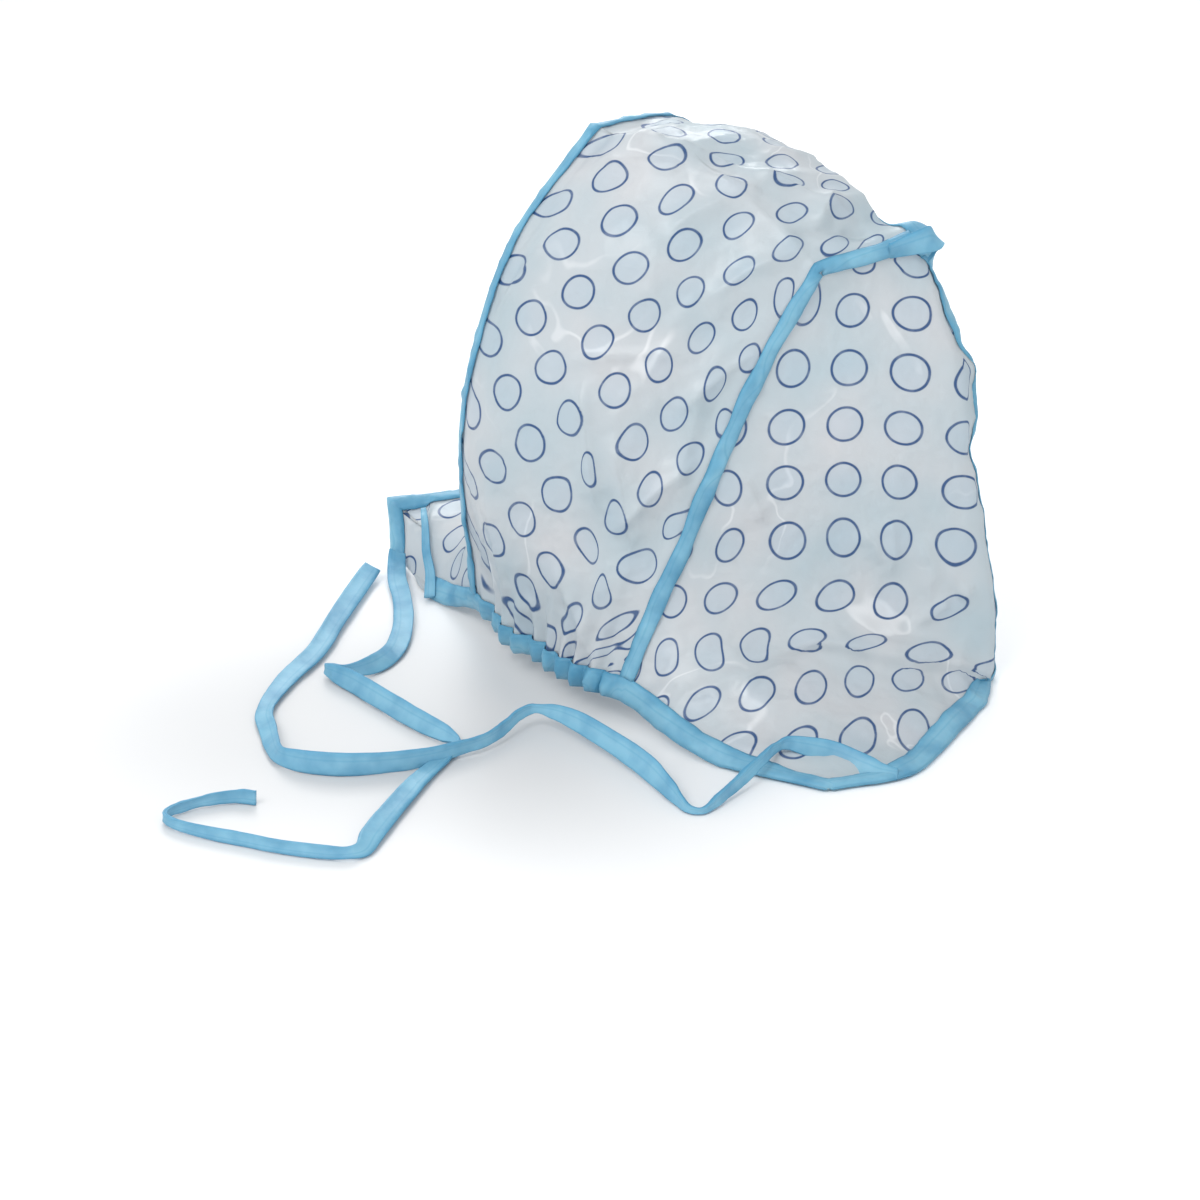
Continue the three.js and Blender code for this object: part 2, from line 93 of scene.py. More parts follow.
def noisy(add, scale, detail=2.0, distortion=0.0):
    """Noise from 0 to 1 over the piece's own place, scale in turns a metre."""
    place = add("TexCoord").outputs["Object"]
    sockets = {"Vector": place, "Scale": scale, "Detail": detail, "Distortion": distortion}
    return add("TexNoise", sockets).outputs["Fac"]


def ranged(add, value, low, high, to_low=0.0, to_high=1.0, interpolation="SMOOTHSTEP"):
    """A value between low and high, read as one between to_low and to_high."""
    sockets = {"Value": value, "From Min": low, "From Max": high, "To Min": to_low, "To Max": to_high}
    return add("MapRange", sockets, interpolation_type=interpolation).outputs["Result"]


def mixed(add, share, first, second):
    """One colour going over to another."""
    return add("Mix", {0: share, 6: first, 7: second}, data_type="RGBA").outputs[2]


def ramp(add, share, stops, interpolation="LINEAR"):
    """A colour for each share, from two or more (position, red, green, blue) stops."""
    node = add("ValToRGB", {"Fac": share})
    colours = node.color_ramp
    colours.interpolation = interpolation
    for element, (position, *colour) in zip(colours.elements, (stops[0], stops[-1])):
        element.position = position
        element.color = (*colour, 1)
    for position, *colour in stops[1:-1]:
        colours.elements.new(position).color = (*colour, 1)
    return node.outputs["Color"]


card, add = new_material("pale card")
# Painted shadow: the card is painted grey round the cap, and the grey fades to near white away from it.
painted_shadow_grey = ramp(add, noisy(add, 9.0), [(0, 0.55, 0.555, 0.56), (1, 0.58, 0.582, 0.585)])
place = add("TexCoord").outputs["Object"]
from_cap = add("VectorMath", {0: place, 1: (-0.02, -0.14, 0)}, operation="DISTANCE").outputs["Value"]
card_and_painted_shadow = mixed(add, ranged(add, from_cap, 0.03, 0.22), painted_shadow_grey, (0.96, 0.96, 0.96, 1))
card_sockets = {"Base Color": card_and_painted_shadow, "Roughness": 0.42, "Specular IOR Level": 0.35}
add("OutputMaterial", {"Surface": add("BsdfPrincipled", card_sockets).outputs["BSDF"]})

floor = put("floor", [(-4, -4, 0), (4, -4, 0), (4, 4, 0), (-4, 4, 0)], [(0, 1, 2, 3)], smooth=False)
floor.data.materials.append(card)

room = bpy.data.worlds.new("room")
bpy.context.scene.world = room
room.use_nodes = True
room.node_tree.nodes["Background"].inputs["Color"].default_value = (0.97, 0.985, 1.0, 1)
room.node_tree.nodes["Background"].inputs["Strength"].default_value = 0.96
bpy.context.scene.view_settings.view_transform = "Standard"


def soft_box(name, place, aim, size, power):
    """A square area lamp that faces a point."""
    lamp = bpy.data.lights.new(name, "AREA")
    lamp.size = size
    lamp.energy = power
    holder = bpy.data.objects.new(name, lamp)
    holder.location = place
    holder.rotation_euler = (Vector(aim) - Vector(place)).to_track_quat("-Z", "Y").to_euler()
    bpy.context.scene.collection.objects.link(holder)


soft_box("key", (0.15, -1.25, 1.35), (0.0, -0.03, 0.06), 0.9, 12.5)
soft_box("rim", (-0.9, 0.75, 0.9), (0.0, 0.0, 0.1), 0.7, 7.0)

# -------------------- right tie
# The free end of the face opening's tape at the right chin corner: sky-blue vinyl tape alone, folded once
# along its middle and pressed flat, so that one edge is a fold and the other shows two layers. It crosses
# the flap, then lies loose on the table, on edge where it bends and flatter where it runs straight.

TAPE_WIDTH = 0.008  # folded once
TIE_THICKNESS = 0.0011  # two layers with a little air between
TIE_STATIONS = 440

tape, add = new_material("sky blue vinyl tape")
across_tape = add("SeparateXYZ", {"Vector": add("UVMap", uv_map="print").outputs["UV"]}).outputs["Y"]
# A fold at 0, a pressed line near the middle and the cut edges at 1.
one_layer = ramp(add, across_tape, [
    (0, 0.11, 0.38, 0.57), (0.07, 0.20, 0.52, 0.71), (0.3, 0.29, 0.60, 0.76), (0.36, 0.23, 0.55, 0.72),
    (0.44, 0.30, 0.61, 0.77), (0.9, 0.26, 0.58, 0.75), (1, 0.17, 0.47, 0.66),
], "EASE")
doubled = ranged(add, noisy(add, 75.0, 3.0), 0.4, 0.7, to_high=0.7, interpolation="LINEAR")
tape_colour = mixed(add, doubled, one_layer, (0.09, 0.35, 0.56, 1))
crinkled = add("Bump", {"Height": noisy(add, 420.0, 3.0), "Strength": 0.3, "Distance": 0.0006})
tape_shade = add("BsdfPrincipled", {
    "Base Color": tape_colour, "Normal": crinkled.outputs["Normal"],
    "Roughness": 0.4, "IOR": 1.5, "Alpha": 0.82,
})
tape_through = add("BsdfTranslucent", {"Color": tape_colour})
tape_mix = add("MixShader", {0: 0.22, 1: tape_shade.outputs["BSDF"], 2: tape_through.outputs["BSDF"]})
add("OutputMaterial", {"Surface": tape_mix.outputs["Shader"]})


def smooth_curve(points, shares):
    """Centripetal Catmull-Rom curve through points, read at shares of its number of spans."""
    p = np.asarray(points, dtype=float)
    spans = len(p) - 1
    p = np.vstack([2 * p[0] - p[1], p, 2 * p[-1] - p[-2]])
    s = np.clip(np.atleast_1d(shares).astype(float), 0, 1) * spans
    i = np.minimum(s.astype(int), spans - 1)
    w = (s - i)[:, None]
    a, b, c, d = p[i], p[i + 1], p[i + 2], p[i + 3]
    gaps = [((far - near) ** 2).sum(1)[:, None] for near, far in ((a, b), (b, c), (c, d))]
    ab, bc, cd = [np.maximum(gap, 1e-16) ** 0.25 for gap in gaps]
    leave = ((b - a) / ab - (c - a) / (ab + bc) + (c - b) / bc) * bc
    meet = ((c - b) / bc - (d - b) / (bc + cd) + (d - c) / cd) * bc
    return b + leave * w + (-3 * b + 3 * c - 2 * leave - meet) * w**2 + (2 * b - 2 * c + leave + meet) * w**3


def unit(v):
    return v / np.maximum(np.linalg.norm(v, axis=-1, keepdims=True), 1e-12)


def run_along(line):
    """Length along a polyline up to each of its points."""
    return np.r_[0, np.cumsum(np.linalg.norm(np.diff(line, axis=0), axis=1))]


def tube(rings):
    """Vertices and faces of a closed sweep through rings with the same number of points."""
    rings = np.asarray(rings)
    count, sides = rings.shape[:2]
    faces = []
    for i in range(count - 1):
        for j in range(sides):
            k = (j + 1) % sides
            faces.append((i * sides + j, i * sides + k, (i + 1) * sides + k, (i + 1) * sides + j))
    faces.append(tuple(range(sides))[::-1])
    faces.append(tuple((count - 1) * sides + j for j in range(sides)))
    return rings.reshape(-1, 3), faces


# Section of the folded tape: across in half widths, through in half thicknesses. The fold is at -1,
# the slit between the two layers at +1.
FOLDED_SECTION = [
    (-1.0, 0.0), (-0.98, 0.55), (-0.9, 0.9), (-0.6, 0.85), (-0.1, 0.66), (0.4, 0.7), (0.8, 0.92), (0.97, 1.0),
    (1.0, 0.7), (0.96, 0.34), (0.7, 0.06), (0.7, -0.06), (0.93, -0.34), (0.965, -0.7), (0.93, -1.0),
    (0.76, -0.92), (0.4, -0.7), (-0.1, -0.66), (-0.6, -0.85), (-0.9, -0.9), (-0.98, -0.55),
]


def folded_strip(line, width, breadth, seed):
    """Rings and print places of the folded tape swept along a line, width giving its across."""
    along = unit(np.gradient(line, axis=0))
    thick = unit(np.cross(along, width))
    run = run_along(line)
    rings, uvs = [], []
    for i in range(len(line)):
        slim = breadth[i] * (1 - 0.07 * abs(noise.noise((run[i] * 45, seed, 3.5))))
        plump = 1 + 0.5 * noise.noise((run[i] * 110, seed, 7.5)) + 0.8 * max(0, 1 - breadth[i])
        ring = []
        for across, through in FOLDED_SECTION:
            ripple = 0.0003 * noise.noise((run[i] * 160, seed, across * 1.3))
            ripple += 0.0002 * noise.noise((run[i] * 420, seed, across * 2.3))
            point = line[i] + width[i] * across * TAPE_WIDTH / 2 * slim
            point = point + thick[i] * (through * plump * TIE_THICKNESS / 2 + ripple)
            point[2] = max(point[2], 0.00005)
            ring.append(point)
            uvs.append((run[i] * 100, across / 2 + 0.5))
        rings.append(ring)
    return rings, uvs


def tape_piece(name, node, rings, uvs, more=None):
    """A piece of tape that stands for a solid, swept through rings. more is a second sweep of the same
    tape, as its own rings and print places."""
    vertices, faces = tube(rings)
    if more:
        more_vertices, more_faces = tube(more[0])
        faces = faces + [tuple(k + len(vertices) for k in face) for face in more_faces]
        vertices = np.vstack([vertices, more_vertices])
        uvs = uvs + more[1]
    piece = put(name, vertices, faces, uvs)
    mesh = bmesh.new()
    mesh.from_mesh(piece.data)
    bmesh.ops.recalc_face_normals(mesh, faces=mesh.faces)
    mesh.to_mesh(piece.data)
    mesh.free()
    piece.data.materials.append(tape)
    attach(piece, "root")
    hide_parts(node)
    return piece


def lay_tie(name, node, route, seed):
    """A tie along its route, whose rows are x, y and height of the tape's middle in millimetres, how far
    its width leans out of level in degrees, and how broad it is, in tape widths."""
    table = np.array(route) / (1000, 1000, 1000, 1, 1)
    shares = np.linspace(0, 1, TIE_STATIONS)
    line = smooth_curve(table[:, :3], shares)
    lean, breadth = smooth_curve(np.c_[table[:, 3:], np.zeros(len(table))], shares)[:, :2].T
    lean = np.radians(lean)
    half_height = TAPE_WIDTH / 2 * breadth * abs(np.sin(lean)) + 0.0006 * abs(np.cos(lean))
    line[:, 2] = np.maximum(line[:, 2], half_height)
    up = np.array((0.0, 0.0, 1.0))
    side = unit(np.cross(up, np.gradient(line, axis=0)))
    width = side * np.cos(lean)[:, None] + up * np.sin(lean)[:, None]
    piece = tape_piece(name, node, *folded_strip(line, width, breadth, seed))


RIGHT_TIE = [
    (147.5, -36.5, 2.2, -30, 0.6), (141.7, -40.8, 3, -38, 1.0), (134.6, -42.7, 4.2, -50, 1.1),
    (124.7, -45.7, 6.2, -58, 1.1), (117.2, -51, 8, -66, 0.85), (112.2, -54.8, 8.8, -76, 0.6),
    (111.7, -61, 8.4, -84, 0.5), (113.5, -70.9, 7, -84, 0.55), (115.5, -82.3, 4.7, -82, 0.6),
    (118.2, -97.6, 2.6, -82, 0.5), (118.8, -105, 1.6, -84, 0.3), (115, -107.4, 1.7, -78, 0.35),
    (102.2, -103.5, 3.4, -64, 0.8), (83.8, -97.3, 5, -58, 1.05), (58.4, -92.4, 6.4, -60, 1.0),
    (42, -90.9, 7.4, -66, 0.9), (31.9, -91.5, 7.6, -72, 0.7), (24.2, -94.3, 7.2, -84, 0.5),
    (23, -100, 6.2, -84, 0.55), (24.8, -107.6, 5, -82, 0.6), (27.5, -120, 4.2, -84, 0.65),
    (26.1, -130.6, 4, -86, 0.7), (23.5, -145, 4, -86, 0.85), (16.5, -160, 4.2, -84, 1.0),
    (6, -172.2, 4.2, -80, 1.05), (-5.5, -178.8, 4, -74, 1.0), (-15, -180, 3.6, -60, 0.8),
    (-26.7, -174.1, 2.8, -40, 0.85), (-39.5, -165.8, 2.2, -25, 0.9), (-50, -159.1, 1.8, -12, 0.85),
    (-57.7, -151, 1.8, 0, 0.8), (-70, -132, 2.4, 12, 0.95), (-82.2, -108, 3, 18, 1.0),
    (-103.1, -79.2, 3.6, 20, 1.0), (-129.4, -42.1, 4, 22, 1.05), (-134, -34.5, 4.8, 24, 0.95),
]
lay_tie("right_tie_tape", "right_tie", RIGHT_TIE, 2.0)

# -------------------- left tie
# The other free end, from the left chin corner: the same folded tape, which drops to the table, runs back
# along the cap's side, crosses under the right tie and turns back on itself at its cut end.

LEFT_TIE = [
    (-135, -20, 7.5, -20, 0.9), (-131.8, -23.2, 5, -12, 0.95), (-127, -27.5, 3.4, -4, 1.0),
    (-120.5, -33, 2.8, 6, 1.0), (-103.3, -45.4, 2.2, 8, 1.0), (-81.4, -64.1, 2, 0, 1.05),
    (-63.4, -84.5, 2.4, -20, 1.05), (-56, -100, 3.4, -50, 1.0), (-56.5, -108.5, 3.6, -72, 0.7),
    (-59.9, -112.7, 3.6, -82, 0.45), (-65, -114.2, 3.6, -92, 0.35), (-65.5, -116.8, 3.6, -98, 0.5),
    (-60, -118, 3.8, -106, 0.8), (-51.3, -118.4, 3.8, -114, 1.0), (-26.3, -122.2, 3.8, -118, 1.05),
    (-3.2, -125.2, 3.6, -122, 1.0), (11.3, -125.4, 3, -132, 0.8), (17.2, -125.5, 2.2, -150, 0.45),
    (20, -128.5, 1.6, -170, 0.4), (23.9, -136.9, 1.4, -180, 0.7), (30.9, -153.7, 1.8, -186, 0.9),
    (43.9, -178.1, 2.4, -192, 1.0), (55.4, -197.8, 2.8, -200, 1.0), (61.5, -207.5, 2.6, -222, 0.75),
    (60, -212.5, 2.6, -240, 0.55), (54.8, -216.8, 2.4, -250, 0.6), (41.2, -224.8, 2.4, -254, 0.6),
    (25.6, -231.2, 2.4, -258, 0.6), (11.4, -236.7, 2.4, -260, 0.55), (0.9, -239, 2.4, -262, 0.45),
    (-4.8, -238, 2.4, -266, 0.4), (-6.8, -234, 2.4, -270, 0.45), (-7, -229.8, 2.4, -274, 0.5),
    (-4.7, -219.7, 2.6, -280, 0.55), (0, -211, 2.6, -280, 0.6), (5.6, -207.1, 2.6, -276, 0.65),
]
lay_tie("left_tie_tape", "left_tie", LEFT_TIE, 9.0)


# -------------------- crown
# The middle panel, from the nape over the head to the forehead: milky vinyl film 0.2 mm thick, printed with
# a square grid of thin navy rings. It was folded flat in its packet, so it stands crumpled, and it is sewn to
# the sides along two seams and gathered at the nape.

FILM_THICKNESS = 0.00022
FILM_ROWS, FILM_COLUMNS = 200, 110
COARSE_ROWS, COARSE_COLUMNS = 41, 33
CROWN_SIZE = (0.15, 0.3)  # the smallest sheet that it is cut from
PRINTED_WIDTH = 0.16
SEAM_HOLD = (0.0015, 0.012)  # the film can't crumple this near a seam, and can from there on
RING_PITCH = 0.022
RING_RADIUS = 0.0066
RING_STROKE = 0.001
REST_HEIGHT = 0.0013  # where the film ends inside the tape that the cap stands on

# A side panel's rows from its lower edge up: at the seam, midway and at the face opening, in metres.
RIGHT_PANEL = [
    ((0.0449, -0.0693, 0.01), (0.0899, -0.0743, 0.004), (0.1369, -0.0614, 0.0013)),
    ((0.0469, -0.0604, 0.031), (0.0959, -0.0474, 0.017), (0.1489, -0.0324, 0.0013)),
    ((0.0489, -0.0524, 0.048), (0.0889, -0.0144, 0.027), (0.1359, 0.0136, 0.0013)),
    ((0.0509, -0.0433, 0.064), (0.0829, 0.0016, 0.046), (0.1199, 0.0576, 0.002)),
    ((0.0529, -0.0353, 0.082), (0.0839, 0.0076, 0.072), (0.1149, 0.0597, 0.04)),
    ((0.0559, -0.0274, 0.1), (0.0859, 0.0116, 0.096), (0.1109, 0.0556, 0.074)),
    ((0.0599, -0.0184, 0.119), (0.0859, 0.0156, 0.12), (0.1079, 0.0526, 0.106)),
    ((0.0649, -0.0094, 0.139), (0.0829, 0.0206, 0.145), (0.0969, 0.0517, 0.142)),
    ((0.0719, 0.0026, 0.161), (0.0809, 0.0256, 0.166), (0.0869, 0.0456, 0.17)),
]
LEFT_PANEL = [
    ((-0.0621, -0.0423, 0.009), (-0.0961, -0.0343, 0.0013), (-0.1401, -0.0184, 0.0013)),
    ((-0.0591, -0.0474, 0.033), (-0.1031, -0.0184, 0.017), (-0.1491, -0.0124, 0.026)),
    ((-0.0566, -0.0524, 0.05), (-0.0911, -0.0004, 0.036), (-0.1201, 0.0296, 0.029)),
    ((-0.0546, -0.0554, 0.067), (-0.0811, 0.0076, 0.056), (-0.0871, 0.0717, 0.031)),
    ((-0.0511, -0.0583, 0.085), (-0.0781, 0.0076, 0.08), (-0.0801, 0.0747, 0.064)),
    ((-0.0481, -0.0583, 0.104), (-0.0751, 0.0076, 0.104), (-0.0731, 0.0727, 0.096)),
    ((-0.0441, -0.0544, 0.128), (-0.0671, 0.0096, 0.13), (-0.0631, 0.0687, 0.128)),
    ((-0.0371, -0.0433, 0.162), (-0.0531, 0.0136, 0.162), (-0.0511, 0.0646, 0.158)),
    ((-0.0251, -0.0144, 0.201), (-0.0261, 0.0236, 0.199), (-0.0371, 0.0597, 0.183)),
]
# How far the crown's rows belly away from the straight line between the two seams, in metres.
CROWN_BELLY = [
    (0, -0.009, 0), (0.002, -0.015, 0), (0.003, -0.018, 0), (0.004, -0.02, 0), (0.005, -0.021, 0),
    (0.004, -0.02, 0.004), (0.003, -0.018, 0.01), (0.002, -0.013, 0.016), (0, -0.005, 0.016),
    (0, -0.002, 0.016), (0, 0, 0.015), (0, 0.003, 0.012),
]
LAST_ROW = len(RIGHT_PANEL) - 1
CROWN_LAST_ROW = len(CROWN_BELLY) - 1
FORWARD_ROWS = CROWN_LAST_ROW - LAST_ROW


def maths(add, operation, *values):
    """The result of a sum on numbers or other nodes' outputs."""
    return add("Math", dict(enumerate(values)), operation=operation).outputs["Value"]


film, add = new_material("printed vinyl film")
print_at = add("UVMap", uv_map="print").outputs["UV"]
in_cell = add("VectorMath", {0: print_at}, operation="FRACTION").outputs["Vector"]
centred = add("VectorMath", {0: in_cell, 1: (0.5, 0.5, 0)}, operation="SUBTRACT").outputs["Vector"]
cell_size = (RING_PITCH * 1000, RING_PITCH * 1000, 0)
from_middle = add("VectorMath", {0: centred, 1: cell_size}, operation="MULTIPLY").outputs["Vector"]
reach = add("VectorMath", {0: from_middle}, operation="LENGTH").outputs["Value"]
off_ring = maths(add, "SUBTRACT", reach, RING_RADIUS * 1000)
# Crushed film shows its rings through several layers, so they look thicker.
thicker = maths(add, "MULTIPLY_ADD", add("Attribute", attribute_name="crushed").outputs["Fac"], 2.4, 1.0)
apart = maths(add, "DIVIDE", maths(add, "ABSOLUTE", off_ring), thicker)
on_ring = ranged(add, apart, RING_STROKE * 1000 * 0.72, RING_STROKE * 1000 * 0.28)
patchy = ranged(add, noisy(add, 190.0, 3.0), 0.25, 0.55, 0.72, 0.97, "LINEAR")
clouds = noisy(add, 26.0)
milk = ramp(add, clouds, [(0.3, 0.57, 0.66, 0.70), (0.7, 0.70, 0.71, 0.725)])
# Thin wandering streaks where the film's colour goes to near white are painted highlights: glints off its
# crumples, painted into the colour.
winding = maths(add, "ABSOLUTE", maths(add, "SUBTRACT", noisy(add, 15.0, 3.0, 0.7), 0.52))
crease = maths(add, "MULTIPLY", ranged(add, winding, 0.011, 0.001, 0, 0.55), ranged(add, clouds, 0.46, 0.62))
# Painted highlights: the milky film's colour goes to near white along the streaks.
milk_and_painted_glints = mixed(add, crease, milk, (0.93, 0.94, 0.95, 1))
tinted = mixed(add, ranged(add, off_ring, 1.5, -1.0, 0, 0.17), milk_and_painted_glints, (0.42, 0.58, 0.74, 1))
inked = mixed(add, maths(add, "MULTIPLY", on_ring, patchy), tinted, (0.03, 0.10, 0.27, 1))
dents = add("Bump", {"Height": noisy(add, 120.0, 4.0, 0.6), "Strength": 0.35, "Distance": 0.0012})
film_shade = add("BsdfPrincipled", {
    "Base Color": inked, "Normal": dents.outputs["Normal"], "IOR": 1.5, "Alpha": 0.9,
    "Roughness": ranged(add, clouds, 0, 1, 0.24, 0.42, "LINEAR"),
})
film_through = add("BsdfTranslucent", {"Color": inked})
film_mix = add("MixShader", {0: 0.3, 1: film_shade.outputs["BSDF"], 2: film_through.outputs["BSDF"]})
add("OutputMaterial", {"Surface": film_mix.outputs["Shader"]})


def walk_in(line, distances):
    """Points at distances along a polyline from its first point."""
    run = run_along(line)
    return np.stack([np.interp(distances, run, line[:, a]) for a in range(3)], axis=1)


def side_row(table, row):
    """Dense points along one row of a side panel, from its seam to the face opening."""
    three = [smooth_curve([r[c] for r in table], row / LAST_ROW)[0] for c in range(3)]
    return smooth_curve(three, np.linspace(0, 1, 81))


def seam_point(table, row):
    """A point of a seam: up the back of the head, then forward over the crown."""
    if row <= LAST_ROW:
        return side_row(table, row)[0]
    last = [smooth_curve([r[c] for r in table], 1.0)[0] for c in range(3)]
    return smooth_curve(last, (row - LAST_ROW) / FORWARD_ROWS)[0]


def crown_row(row):
    """Dense points along one row of the crown, from the left seam to the right one."""
    left = seam_point(LEFT_PANEL, row)
    right = seam_point(RIGHT_PANEL, row)
    control = (left + right) / 2 + 2 * smooth_curve(CROWN_BELLY, row / CROWN_LAST_ROW)[0]
    t = np.linspace(0, 1, 81)[:, None]
    return (1 - t) ** 2 * left + 2 * t * (1 - t) * control + t**2 * right


def surface_grid(row_of, last_row, rows, columns):
    """Points of a smooth panel, rows from the lower edge up and columns across."""
    shares = np.linspace(0, 1, columns)
    lines = [row_of(row) for row in np.linspace(0, last_row, rows)]
    grid = np.stack([walk_in(line, shares * run_along(line)[-1]) for line in lines])
    grid[..., 2] = np.maximum(grid[..., 2], REST_HEIGHT)
    return grid


def grid_normals(grid):
    """Unit normals of a grid, across crossed with up."""
    return unit(np.cross(np.gradient(grid, axis=1), np.gradient(grid, axis=0)))


def laid_flat(grid, rounds=900):
    """The grid's points on the flat film they were cut from, in metres, with its lengths kept."""
    rows, columns = grid.shape[:2]
    lengths = {}
    for di, dj in ((0, 1), (1, 0), (1, 1), (1, -1), (0, 3), (3, 0)):
        a = (slice(0, rows - di), slice(max(0, -dj), columns - max(0, dj)))
        b = (slice(di, rows), slice(max(0, dj), columns + min(0, dj)))
        lengths[(di, dj)] = (a, b, np.linalg.norm(grid[b] - grid[a], axis=-1))
    middle = columns // 2
    up = run_along(grid[:, middle])
    across = np.cumsum(np.linalg.norm(np.diff(grid, axis=1), axis=-1), axis=1)
    across = np.concatenate([np.zeros((rows, 1)), across], axis=1)
    across = across - across[:, middle : middle + 1]
    flat = np.stack([across, np.repeat(up[:, None], columns, axis=1)], axis=-1)
    for _ in range(rounds):
        move = np.zeros_like(flat)
        pull = np.zeros(flat.shape[:2])
        for a, b, length in lengths.values():
            gap = flat[b] - flat[a]
            now = np.maximum(np.linalg.norm(gap, axis=-1), 1e-9)
            step = gap * ((now - length) / now * 0.5)[..., None]
            move[a] += step
            move[b] -= step
            pull[a] += 1
            pull[b] += 1
        flat += move / pull[..., None] * 1.2
    return flat


def finer(values, rows, columns):
    """A coarse grid of values read on a finer one, smoothly."""
    along = np.linspace(0, 1, rows)
    across = np.linspace(0, 1, columns)
    tall = np.stack([smooth_grid_curve(values[:, j], along) for j in range(values.shape[1])], axis=1)
    return np.stack([smooth_grid_curve(tall[i], across) for i in range(rows)], axis=0)


def smooth_grid_curve(points, shares):
    """Uniform Catmull-Rom through evenly placed values."""
    p = np.asarray(points, dtype=float)
    spans = len(p) - 1
    p = np.concatenate([2 * p[:1] - p[1:2], p, 2 * p[-1:] - p[-2:-1]])
    s = np.clip(shares, 0, 1) * spans
    i = np.minimum(s.astype(int), spans - 1)
    w = (s - i).reshape(-1, *([1] * (p.ndim - 1)))
    a, b, c, d = p[i], p[i + 1], p[i + 2], p[i + 3]
    return b + 0.5 * w * (c - a + w * (2 * a - 5 * b + 4 * c - d + w * (3 * (b - c) + d - a)))


def panel_grids(row_of, last_row):
    """A panel's points on the flat film and in space."""
    coarse = surface_grid(row_of, last_row, COARSE_ROWS, COARSE_COLUMNS)
    flat = finer(laid_flat(coarse), FILM_ROWS, FILM_COLUMNS)
    return flat, surface_grid(row_of, last_row, FILM_ROWS, FILM_COLUMNS)


def smooth_step(value, low, high):
    t = np.clip((value - low) / (high - low), 0, 1)
    return t * t * (3 - 2 * t)


def noise_over(flat, scale, seed, stretch=(1, 1)):
    """Smooth noise from -1 to 1 at each point of the flat film; scale is in turns a metre."""
    u = flat[..., 0].ravel() * scale * stretch[0]
    v = flat[..., 1].ravel() * scale * stretch[1]
    return np.array([noise.noise((a, b, seed)) for a, b in zip(u, v)]).reshape(flat.shape[:2])


def folds_over(flat, folds):
    """Height of the film's sharp folds. A fold is (from u, v, to u, v, half width, height) in millimetres."""
    height = np.zeros(flat.shape[:2])
    for u0, v0, u1, v1, width, rise in np.array(folds) / 1000:
        start, run = np.array((u0, v0)), np.array((u1 - u0, v1 - v0))
        length = np.linalg.norm(run)
        along = ((flat - start) @ run) / length**2
        off = (flat - start) @ np.array((-run[1], run[0])) / length
        off = off + 0.1 * width * np.sin(along * 9)
        window = smooth_step(along, -0.05, 0.25) * smooth_step(along, 1.05, 0.7)
        height += rise * window * np.exp(-np.abs(off) / width)
    return height


def turned(lines, outside, angle, start=0.013, bend=0.005, grow=0.0, spread=0.045):
    """The film's edge curled inward, as pressed in the packet. lines run from the edge inward, one for
    each station; outside is the film's outward normals there; angle is each station's curl in radians,
    and grow how far the film then stands out to keep the cap's outline. Gives the lines and the
    lengths by which the film reaches further at each point."""
    lines = lines.copy()
    steps = np.linalg.norm(np.diff(lines, axis=1), axis=-1)
    deep = np.concatenate([np.zeros((len(lines), 1)), np.cumsum(steps, axis=1)], axis=1)
    angle = np.maximum(np.broadcast_to(angle, len(lines)), 1e-3)
    grow = np.broadcast_to(grow, len(lines))
    extra = grow[:, None] * smooth_step(deep, spread, 0.3 * start)
    for i in range(len(lines)):
        turn_at = np.array([np.interp(start, deep[i], lines[i, :, a]) for a in range(3)])
        normal = np.array([np.interp(start, deep[i], outside[i, :, a]) for a in range(3)])
        out = unit(lines[i, 0] - turn_at)
        normal = unit(normal - out * (normal @ out))
        s = np.clip(start - deep[i], 0, None)
        curve = angle[i] / bend
        on_bend = np.minimum(s, bend)
        forth = np.sin(on_bend * curve) / curve + (s - on_bend) * np.cos(angle[i])
        inward = (1 - np.cos(on_bend * curve)) / curve + (s - on_bend) * np.sin(angle[i])
        curled = turn_at + forth[:, None] * out - inward[:, None] * normal
        lines[i] = np.where((deep[i] < start)[:, None], curled, lines[i]) + extra[i][:, None] * out
    return lines, extra


def shares_between(value, *stops):
    """A value read from (at, amount) stops, eased between them."""
    at = [s[0] for s in stops]
    amount = np.array([s[1] for s in stops], dtype=float)
    value = np.asarray(value, dtype=float)
    i = np.clip(np.searchsorted(at, value, side="right") - 1, 0, len(at) - 2)
    low, high = np.array(at)[i], np.array(at)[i + 1]
    return amount[i] + (amount[i + 1] - amount[i]) * smooth_step((value - low) / (high - low), 0, 1)


def tucked(at, tucks, width):
    """Length of film swallowed by small tucks up to each place. A tuck is (place, length swallowed)."""
    return sum(length * smooth_step(at, place - width, place + width) for place, length in tucks)


def pinched(flat, places, width):
    """Print places moved so that the film looks squeezed at some of them. Each is u, v, the
    direction of the squeeze in degrees and how many times narrower the film looks."""
    moved = flat.copy()
    for u, v, degrees, times in places:
        away = flat - (u, v)
        toward = np.array((np.cos(np.radians(degrees)), np.sin(np.radians(degrees))))
        near = np.exp(-(away**2).sum(axis=-1) / width**2)
        moved += toward * ((away @ toward) * (times - 1) * near)[..., None]
    return moved


def print_cells(across, up, readings):
    """Ring numbers, across and up, at shares of a panel. The readings give them at its left, middle and
    right: a row for its bottom, one for half-way up and one for its top."""
    def weights(share):
        rest = 1 - share
        return np.stack([rest * (rest - share), 4 * share * rest, share * (share - rest)], axis=-1)
    return np.einsum("...r,...c,rcn->...n", weights(up), weights(across), np.array(readings))


